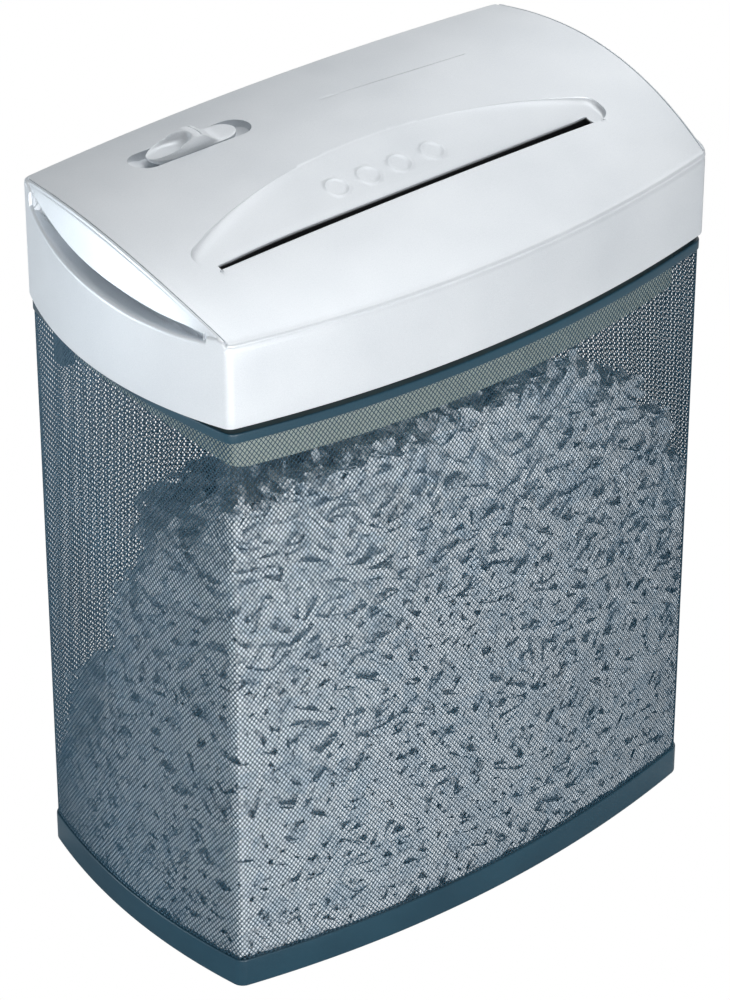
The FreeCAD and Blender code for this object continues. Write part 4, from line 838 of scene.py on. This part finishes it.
# ---------------- bin
def swept_band(name, profile, caps=False):
    """A band round the bin from (outward offset, height) pairs, from the inside round the outside."""
    base, outward = BIN.at(BIN.stations(3.0, 0.8))
    count = len(base)
    points = []
    for offset, height in profile:
        points += np.column_stack([base + outward * offset, np.full(count, height)]).tolist()
    faces = ring_faces(len(profile), count, closed_rings=not caps)
    if caps:
        faces += cap_faces(len(profile), count)
    return add_object(name, points, faces, "bin_plastic", "bin", sharp=40)


BAND_ROUND = 0.9
RIM_OUT, RIM_IN = 0.7, -5.2
TRIM_OUT, TRIM_IN, TRIM_UNDER = 0.9, -2.1, 1.5


def rounded(profile, steps=4):
    """A profile whose marked corners are rounded: each item is (offset, height, round it or not)."""
    made = []
    for index, (offset, height, turn) in enumerate(profile):
        here = np.array((offset, height))
        if not turn:
            made.append(tuple(here))
            continue
        before = np.array(profile[index - 1][:2]) - here
        after = np.array(profile[(index + 1) % len(profile)][:2]) - here
        start = here + before / np.linalg.norm(before) * BAND_ROUND
        end = here + after / np.linalg.norm(after) * BAND_ROUND
        for share in np.linspace(0, 1, steps + 1):
            made.append(tuple((1 - share) ** 2 * start + 2 * share * (1 - share) * here + share**2 * end))
    return made


def bin_bands():
    """The moulded rim and the moulded base, with soft edges."""
    rim = rounded([(RIM_IN, RIM_BOTTOM, False), (RIM_OUT, RIM_BOTTOM, True), (RIM_OUT, RIM_TOP, True),
                   (RIM_IN, RIM_TOP, False)])
    band = swept_band("rim_band", rim)
    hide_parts("bin_rim")
    base = rounded([(-0.5, TRIM_UNDER, False), (TRIM_OUT, TRIM_UNDER, True), (TRIM_OUT, TRIM_TOP, True),
                    (TRIM_IN, TRIM_TOP, True), (TRIM_IN, BIN_FLOOR, False)])
    tub = swept_band("base_tub", base, caps=True)
    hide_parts("bin_base")


CELL_WIDTH, CELL_HEIGHT = 2.38, 3.2
# half of each sheet's strand width; the front's are thinner, to let more of the paper show
STRANDS = {"mesh_front": 0.20, "mesh_right": 0.42, "mesh_back": 0.42, "mesh_left": 0.29}
MESH_BOTTOM, MESH_TOP = 16.4, 324.0
# how far the strands' middles and their edges lie outside the bin's outline
RIDGE_OUT, RIDGE_IN = 0.06, -0.3


def perforated_walls():
    """The wall of diamond-shaped openings, as four sheets that meet at the corners."""
    columns = round(BIN.length / CELL_WIDTH)
    rows = round((MESH_TOP - MESH_BOTTOM) / CELL_HEIGHT)
    step_s = BIN.length / columns / 2
    step_z = (MESH_TOP - MESH_BOTTOM) / rows / 2
    inradius = step_s * step_z / math.hypot(step_s, step_z)
    across, up = np.meshgrid(np.arange(2 * columns), np.arange(1, 2 * rows), indexing="ij")
    holes = np.stack([across.ravel(), up.ravel()], axis=-1)
    holes = holes[(holes.sum(axis=1) % 2) == 1]
    corner_middles = [(BIN.starts[i] + BIN.starts[i + 1]) / 2 for i in (1, 3, 5, 7)]
    place = holes[:, 0] * step_s
    front = (place < corner_middles[0]) | (place >= corner_middles[3])
    sheets = {"mesh_front": front}
    for corner, name in enumerate(("mesh_right", "mesh_back", "mesh_left")):
        sheets[name] = (place >= corner_middles[corner]) & (place < corner_middles[corner + 1])
    ways = np.array([(1, 0), (0, 1), (-1, 0), (0, -1)])
    for name, chosen in sheets.items():
        mine = holes[chosen]
        open_share = 1 - STRANDS[name] / inradius
        outer = (mine[:, None, :] + ways[None]).reshape(-1, 2)
        codes = np.mod(outer[:, 0], 2 * columns) * 4 * rows + outer[:, 1]
        _, first, numbers = np.unique(codes, return_index=True, return_inverse=True)
        inner = (mine[:, None, :] + ways[None] * open_share).reshape(-1, 2)
        points = []
        for places, offset in ((outer[first], RIDGE_OUT), (inner, RIDGE_IN)):
            plan, outward = BIN.at(places[:, 0] * step_s)
            points.append(np.column_stack([plan + outward * offset, MESH_BOTTOM + places[:, 1] * step_z]))
        numbers = numbers.reshape(-1, 4)
        inner_numbers = np.arange(len(inner)).reshape(-1, 4) + len(first)
        faces = []
        for way in range(4):
            after = (way + 1) % 4
            quads = (numbers[:, way], numbers[:, after], inner_numbers[:, after], inner_numbers[:, way])
            faces += np.stack(quads, axis=-1).tolist()
        sheet = add_object(name, np.concatenate(points), faces, "mesh_steel", "bin")
        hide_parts("mesh_wall")


# ---------------- shredded paper
# known points of the heap: x, y and height
HEAP = np.array((
    (-140, -70, 281), (-100, -88, 289), (-50, -90, 294), (0, -92, 295), (50, -90, 295), (90, -85, 270),
    (115, -82, 240), (140, -72, 192), (150, -30, 170), (153, 5, 165), (150, 45, 160), (135, 80, 165),
    (60, 90, 215), (0, 92, 230), (-60, 90, 190), (-120, 82, 100), (-145, 75, 50), (-152, 40, 80),
    (-153, 5, 200), (-150, -30, 248), (0, 0, 285), (60, 0, 270), (-60, 0, 262), (-100, 30, 170),
    (100, 20, 215),
), float)
HEAP_SOFT, HEAP_POWER = 60.0, 1.8
SEED = 7
CHIP_WIDTH, CHIP_THICK = 4.3, 0.12
CHIP_STEPS = 5
CHIP_LENGTH, CHIP_CURL, CHIP_TWIST = (11, 27), (6, 26), 0.035
# how far the chips stay inside the wall, and inside the base's own wall
CHIP_WALL, CHIP_TRIM = 0.95, 2.5
CHIP_LOW, CHIP_TOP = BIN_FLOOR + 0.3, 300.0
# how chips at the wall are tipped when tight and, in addition, when loose, and how far in they lie
TILT_TIGHT, TILT_LOOSE = 0.12, 0.5
INWARD, INWARD_TIGHT, INWARD_LOOSE = 1.0, 1.2, 6.0
CORE_INSET, CORE_UNDER = 5.0, 7
CORE_PLACES, CORE_RINGS, CORE_TOP_RINGS = 220, 40, 22
CORE_JITTER, CORE_ROUGH = 2.0, 2
# each wall's first and last corner on the outline, and how many chips lie against it
WALL_CHIPS = {"chips_front": (7, 1, 2900), "chips_right": (1, 3, 1500), "chips_back": (3, 5, 2300),
              "chips_left": (5, 7, 1500)}
SURFACE_CHIPS, SURFACE_TILT = 2400, 0.5
SURFACE_X, SURFACE_Y, SURFACE_LIFT = (-150, 150), (-88, 92), (-6, 1.5)
# chips come loose this far under the heap's surface, and fully so after the second distance
LOOSE_FROM, LOOSE_OVER = 110, 90


def heap_height(x, y):
    """Height of the heap's surface, from its known points."""
    reach = (x[..., None] - HEAP[:, 0]) ** 2 + (y[..., None] - HEAP[:, 1]) ** 2 + HEAP_SOFT
    weight = reach**-HEAP_POWER
    return (weight * HEAP[:, 2]).sum(axis=-1) / weight.sum(axis=-1)


def chip_batch(name, centres, normals, rng, tilt):
    """Curled strips of paper at the given places, each roughly facing its normal."""
    count = len(centres)
    length = rng.uniform(*CHIP_LENGTH, count)
    curl = rng.uniform(*CHIP_CURL, count) * rng.choice((-1, 1), count)
    twist = rng.normal(0, CHIP_TWIST, count)
    normals = normals + rng.normal(0, 1, (count, 3)) * tilt[:, None]
    normals /= np.linalg.norm(normals, axis=1)[:, None]
    side = np.cross(normals, rng.normal(0, 1, (count, 3)))
    side /= np.linalg.norm(side, axis=1)[:, None]
    along = np.cross(side, normals)
    steps = np.linspace(-0.5, 0.5, CHIP_STEPS + 1)
    walk = steps[None] * length[:, None]
    bend = walk / curl[:, None]
    reach = curl[:, None] * np.sin(bend)
    rise = curl[:, None] * (1 - np.cos(bend))
    rise -= rise.mean(axis=1)[:, None]
    lean = twist[:, None] * walk
    spine = centres[:, None] + along[:, None] * reach[..., None] + normals[:, None] * rise[..., None]
    facing = normals[:, None] * np.cos(bend)[..., None] - along[:, None] * np.sin(bend)[..., None]
    across = side[:, None] * np.cos(lean)[..., None] + facing * np.sin(lean)[..., None]
    facing = facing * np.cos(lean)[..., None] - side[:, None] * np.sin(lean)[..., None]
    layers = []
    for edge, layer in ((-1, 1), (1, 1), (1, -1), (-1, -1)):
        layers.append(spine + across * (edge * CHIP_WIDTH / 2) + facing * (layer * CHIP_THICK / 2))
    points = np.stack(layers, axis=2)
    plan = points[..., :2].reshape(-1, 2)
    height = points[..., 2].reshape(-1)
    plan = BIN.pull_inside(plan, CHIP_WALL)
    low = height < TRIM_TOP + 0.5
    plan[low] = BIN.pull_inside(plan[low], CHIP_TRIM)
    height = np.clip(height, CHIP_LOW, CHIP_TOP)
    points = np.column_stack([plan, height])
    rings = CHIP_STEPS + 1
    sides = [(here, there, beyond, beside) for here, beside, beyond, there in ring_faces(rings, 4)]
    pattern = np.array(sides + [face[::-1] for face in cap_faces(rings, 4)])
    faces = (pattern[None] + (np.arange(count) * rings * 4)[:, None, None]).reshape(-1, 4)
    add_object(name, points, faces.tolist(), "shredded_paper", "bin", smooth=False)


def shredded_paper():
    """A heap of chips: flat against the lower wall, loose and curled near its surface."""
    rng = np.random.default_rng(SEED)
    for name, (first, last, count) in WALL_CHIPS.items():
        low = BIN.starts[first] - (BIN.length if first > last else 0)
        high = BIN.starts[last + 1]
        place = rng.uniform(low, high, count)
        plan, outward = BIN.at(place)
        heap = heap_height(*(plan - outward * 4).T)
        height = BIN_FLOOR + 1 + rng.random(count) * (heap - BIN_FLOOR - 1)
        loose = np.clip((height - (heap - LOOSE_FROM)) / LOOSE_OVER, 0, 1)
        inward = INWARD + rng.exponential(INWARD_TIGHT + INWARD_LOOSE * loose)
        centres = np.column_stack([plan - outward * inward[:, None], height])
        normals = np.column_stack([outward, np.zeros(count)])
        chip_batch(name, centres, normals, rng, TILT_TIGHT + TILT_LOOSE * loose)
    x, y = rng.uniform(*SURFACE_X, SURFACE_CHIPS), rng.uniform(*SURFACE_Y, SURFACE_CHIPS)
    plan = BIN.pull_inside(np.stack([x, y], axis=-1), 4)
    height = heap_height(*plan.T) + rng.uniform(*SURFACE_LIFT, SURFACE_CHIPS)
    normals = np.tile((0.0, 0.0, 1.0), (SURFACE_CHIPS, 1))
    tilt = np.full(SURFACE_CHIPS, SURFACE_TILT)
    chip_batch("chips_surface", np.column_stack([plan, height]), normals, rng, tilt)
    heap_core(rng)


def heap_core(rng):
    """The inside of the heap, just behind the chips that show."""
    base, outward = BIN.at(np.linspace(0, BIN.length, CORE_PLACES, endpoint=False))
    side = BIN.pull_inside(base, CORE_INSET)
    low = BIN_FLOOR + 0.4
    top = heap_height(*side.T) - CORE_UNDER
    rings = []
    for share in np.linspace(0, 1, CORE_RINGS):
        jitter = rng.uniform(0, CORE_JITTER, CORE_PLACES)
        rings.append(np.column_stack([side - outward * jitter[:, None], low + (top - low) * share]))
    centre = np.array((0.0, MIDDLE))
    for shrink in np.linspace(1, 0.05, CORE_TOP_RINGS)[1:]:
        plan = centre + (side - centre) * shrink
        height = heap_height(*plan.T) - CORE_UNDER + rng.uniform(-CORE_ROUGH, CORE_ROUGH, CORE_PLACES)
        rings.append(np.column_stack([plan, height]))
    faces = ring_faces(len(rings), CORE_PLACES) + cap_faces(len(rings), CORE_PLACES)
    add_object("chips_core", np.concatenate(rings), faces, "shredded_paper", "bin", smooth=False)


# ---------------- cord gland
# (radius, y) pairs, from the middle of its hole, round the lip, to the middle of its inner end
BUSH_PROFILE = ((0.01, 88.6), (3.4, 88.6), (3.4, 92.2), (3.7, 92.6), (5.6, 92.6), (6.2, 92.0), (6.3, 88.0),
                (6.3, 82.5), (0.01, 82.5))
BUSH_TURNS = 40


def cord_bush():
    """A bush where the lead enters the back of the head, closed behind its lip."""
    low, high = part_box("cord_gland")
    centre = (low + high) / 2 / MM
    points = []
    for radius, depth in BUSH_PROFILE:
        for turn in range(BUSH_TURNS):
            angle = 2 * math.pi * turn / BUSH_TURNS
            across, up = radius * math.cos(angle), radius * math.sin(angle)
            points.append((centre.x + across, depth, centre.z + up))
    faces = ring_faces(len(BUSH_PROFILE), BUSH_TURNS) + cap_faces(len(BUSH_PROFILE), BUSH_TURNS)
    bush = add_object("cord_bush", points, faces, "black_plastic", "head", sharp=40)
    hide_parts("cord_gland")


# ---------------- studio
CAMERA = {"lens": 158.4, "yaw": 38.5, "pitch": 33.33, "distance": 2.206,
          "target": (-0.0091, -0.0033, 0.200)}
AMBIENT = 0.22
AIM_HEIGHT = 0.25
FLOOR_SIZE = 14
# name, place, size, power, colour
LIGHTS = (
    ("front", (-0.57, -2.12, 0.16), 0.4, 22, (1.0, 1.0, 1.0)),
    ("front_left", (-1.56, -1.56, 0.16), 0.4, 21, (1.0, 1.0, 1.0)),
    ("left", (-1.82, 1.27, 0.16), 0.4, 18, (0.86, 0.94, 1.0)),
    ("overhead", (0.30, -0.05, 1.70), 0.9, 9, (1.0, 1.0, 1.0)),
    ("back_right", (1.70, 1.20, 1.50), 1.4, 11, (1.0, 1.0, 1.0)),
)


def split_rays(tree, seen, lit):
    """Mix two shaders: one for what the lens sees directly, one for the light that falls on things."""
    rays = tree.nodes.new("ShaderNodeLightPath")
    mix = tree.nodes.new("ShaderNodeMixShader")
    tree.links.new(rays.outputs["Is Camera Ray"], mix.inputs["Fac"])
    tree.links.new(lit, mix.inputs[1])
    tree.links.new(seen, mix.inputs[2])
    return mix.outputs[0]


def place_item(name, data, place, direction):
    """A light or camera, facing a direction."""
    item = bpy.data.objects.new(name, data)
    bpy.context.scene.collection.objects.link(item)
    item.location = place
    item.rotation_mode = "QUATERNION"
    item.rotation_quaternion = direction.to_track_quat("-Z", "Y")
    return item


def studio():
    """Camera, white surroundings, a pale floor and soft lights."""
    scene = bpy.context.scene
    scene.view_settings.view_transform = "Standard"
    world = bpy.data.worlds.new("studio")
    scene.world = world
    world.use_nodes = True
    tree = world.node_tree
    lit = tree.nodes["Background"]
    lit.inputs["Color"].default_value = (0.93, 0.97, 1.0, 1)
    lit.inputs["Strength"].default_value = AMBIENT
    seen = tree.nodes.new("ShaderNodeBackground")
    seen.inputs["Color"].default_value = (1, 1, 1, 1)
    surface = split_rays(tree, seen.outputs[0], lit.outputs[0])
    tree.links.new(surface, tree.nodes["World Output"].inputs["Surface"])

    nodes = Nodes("studio_floor")
    nodes.shader.inputs["Base Color"].default_value = (0.80, 0.81, 0.82, 1)
    nodes.shader.inputs["Roughness"].default_value = 0.9
    glow = nodes.add("ShaderNodeEmission", Strength=1.0)
    surface = split_rays(nodes.tree, glow.outputs[0], nodes.shader.outputs[0])
    nodes.link(surface, nodes.tree.nodes["Material Output"].inputs["Surface"])
    bpy.ops.mesh.primitive_plane_add(size=FLOOR_SIZE, location=(0, 0, 0))
    floor = bpy.context.object
    floor.name = "studio_floor"
    floor.data.materials.append(nodes.material)

    for name, place, size, power, colour in LIGHTS:
        light = bpy.data.lights.new(name, "AREA")
        light.energy = power
        light.size = size
        light.color = colour
        place_item(name, light, place, Vector((0, 0, AIM_HEIGHT)) - Vector(place))

    lens = bpy.data.cameras.new("camera")
    lens.lens = CAMERA["lens"]
    lens.clip_end = 50
    yaw, pitch = math.radians(CAMERA["yaw"]), math.radians(CAMERA["pitch"])
    back = Vector((-math.sin(yaw) * math.cos(pitch), -math.cos(yaw) * math.cos(pitch), math.sin(pitch)))
    scene.camera = place_item("camera", lens, Vector(CAMERA["target"]) + back * CAMERA["distance"], -back)


dress_nodes()
head_casing()
throat_painted_shade()
slide_button()
slider_stem()
bin_bands()
perforated_walls()
shredded_paper()
cord_bush()
studio()
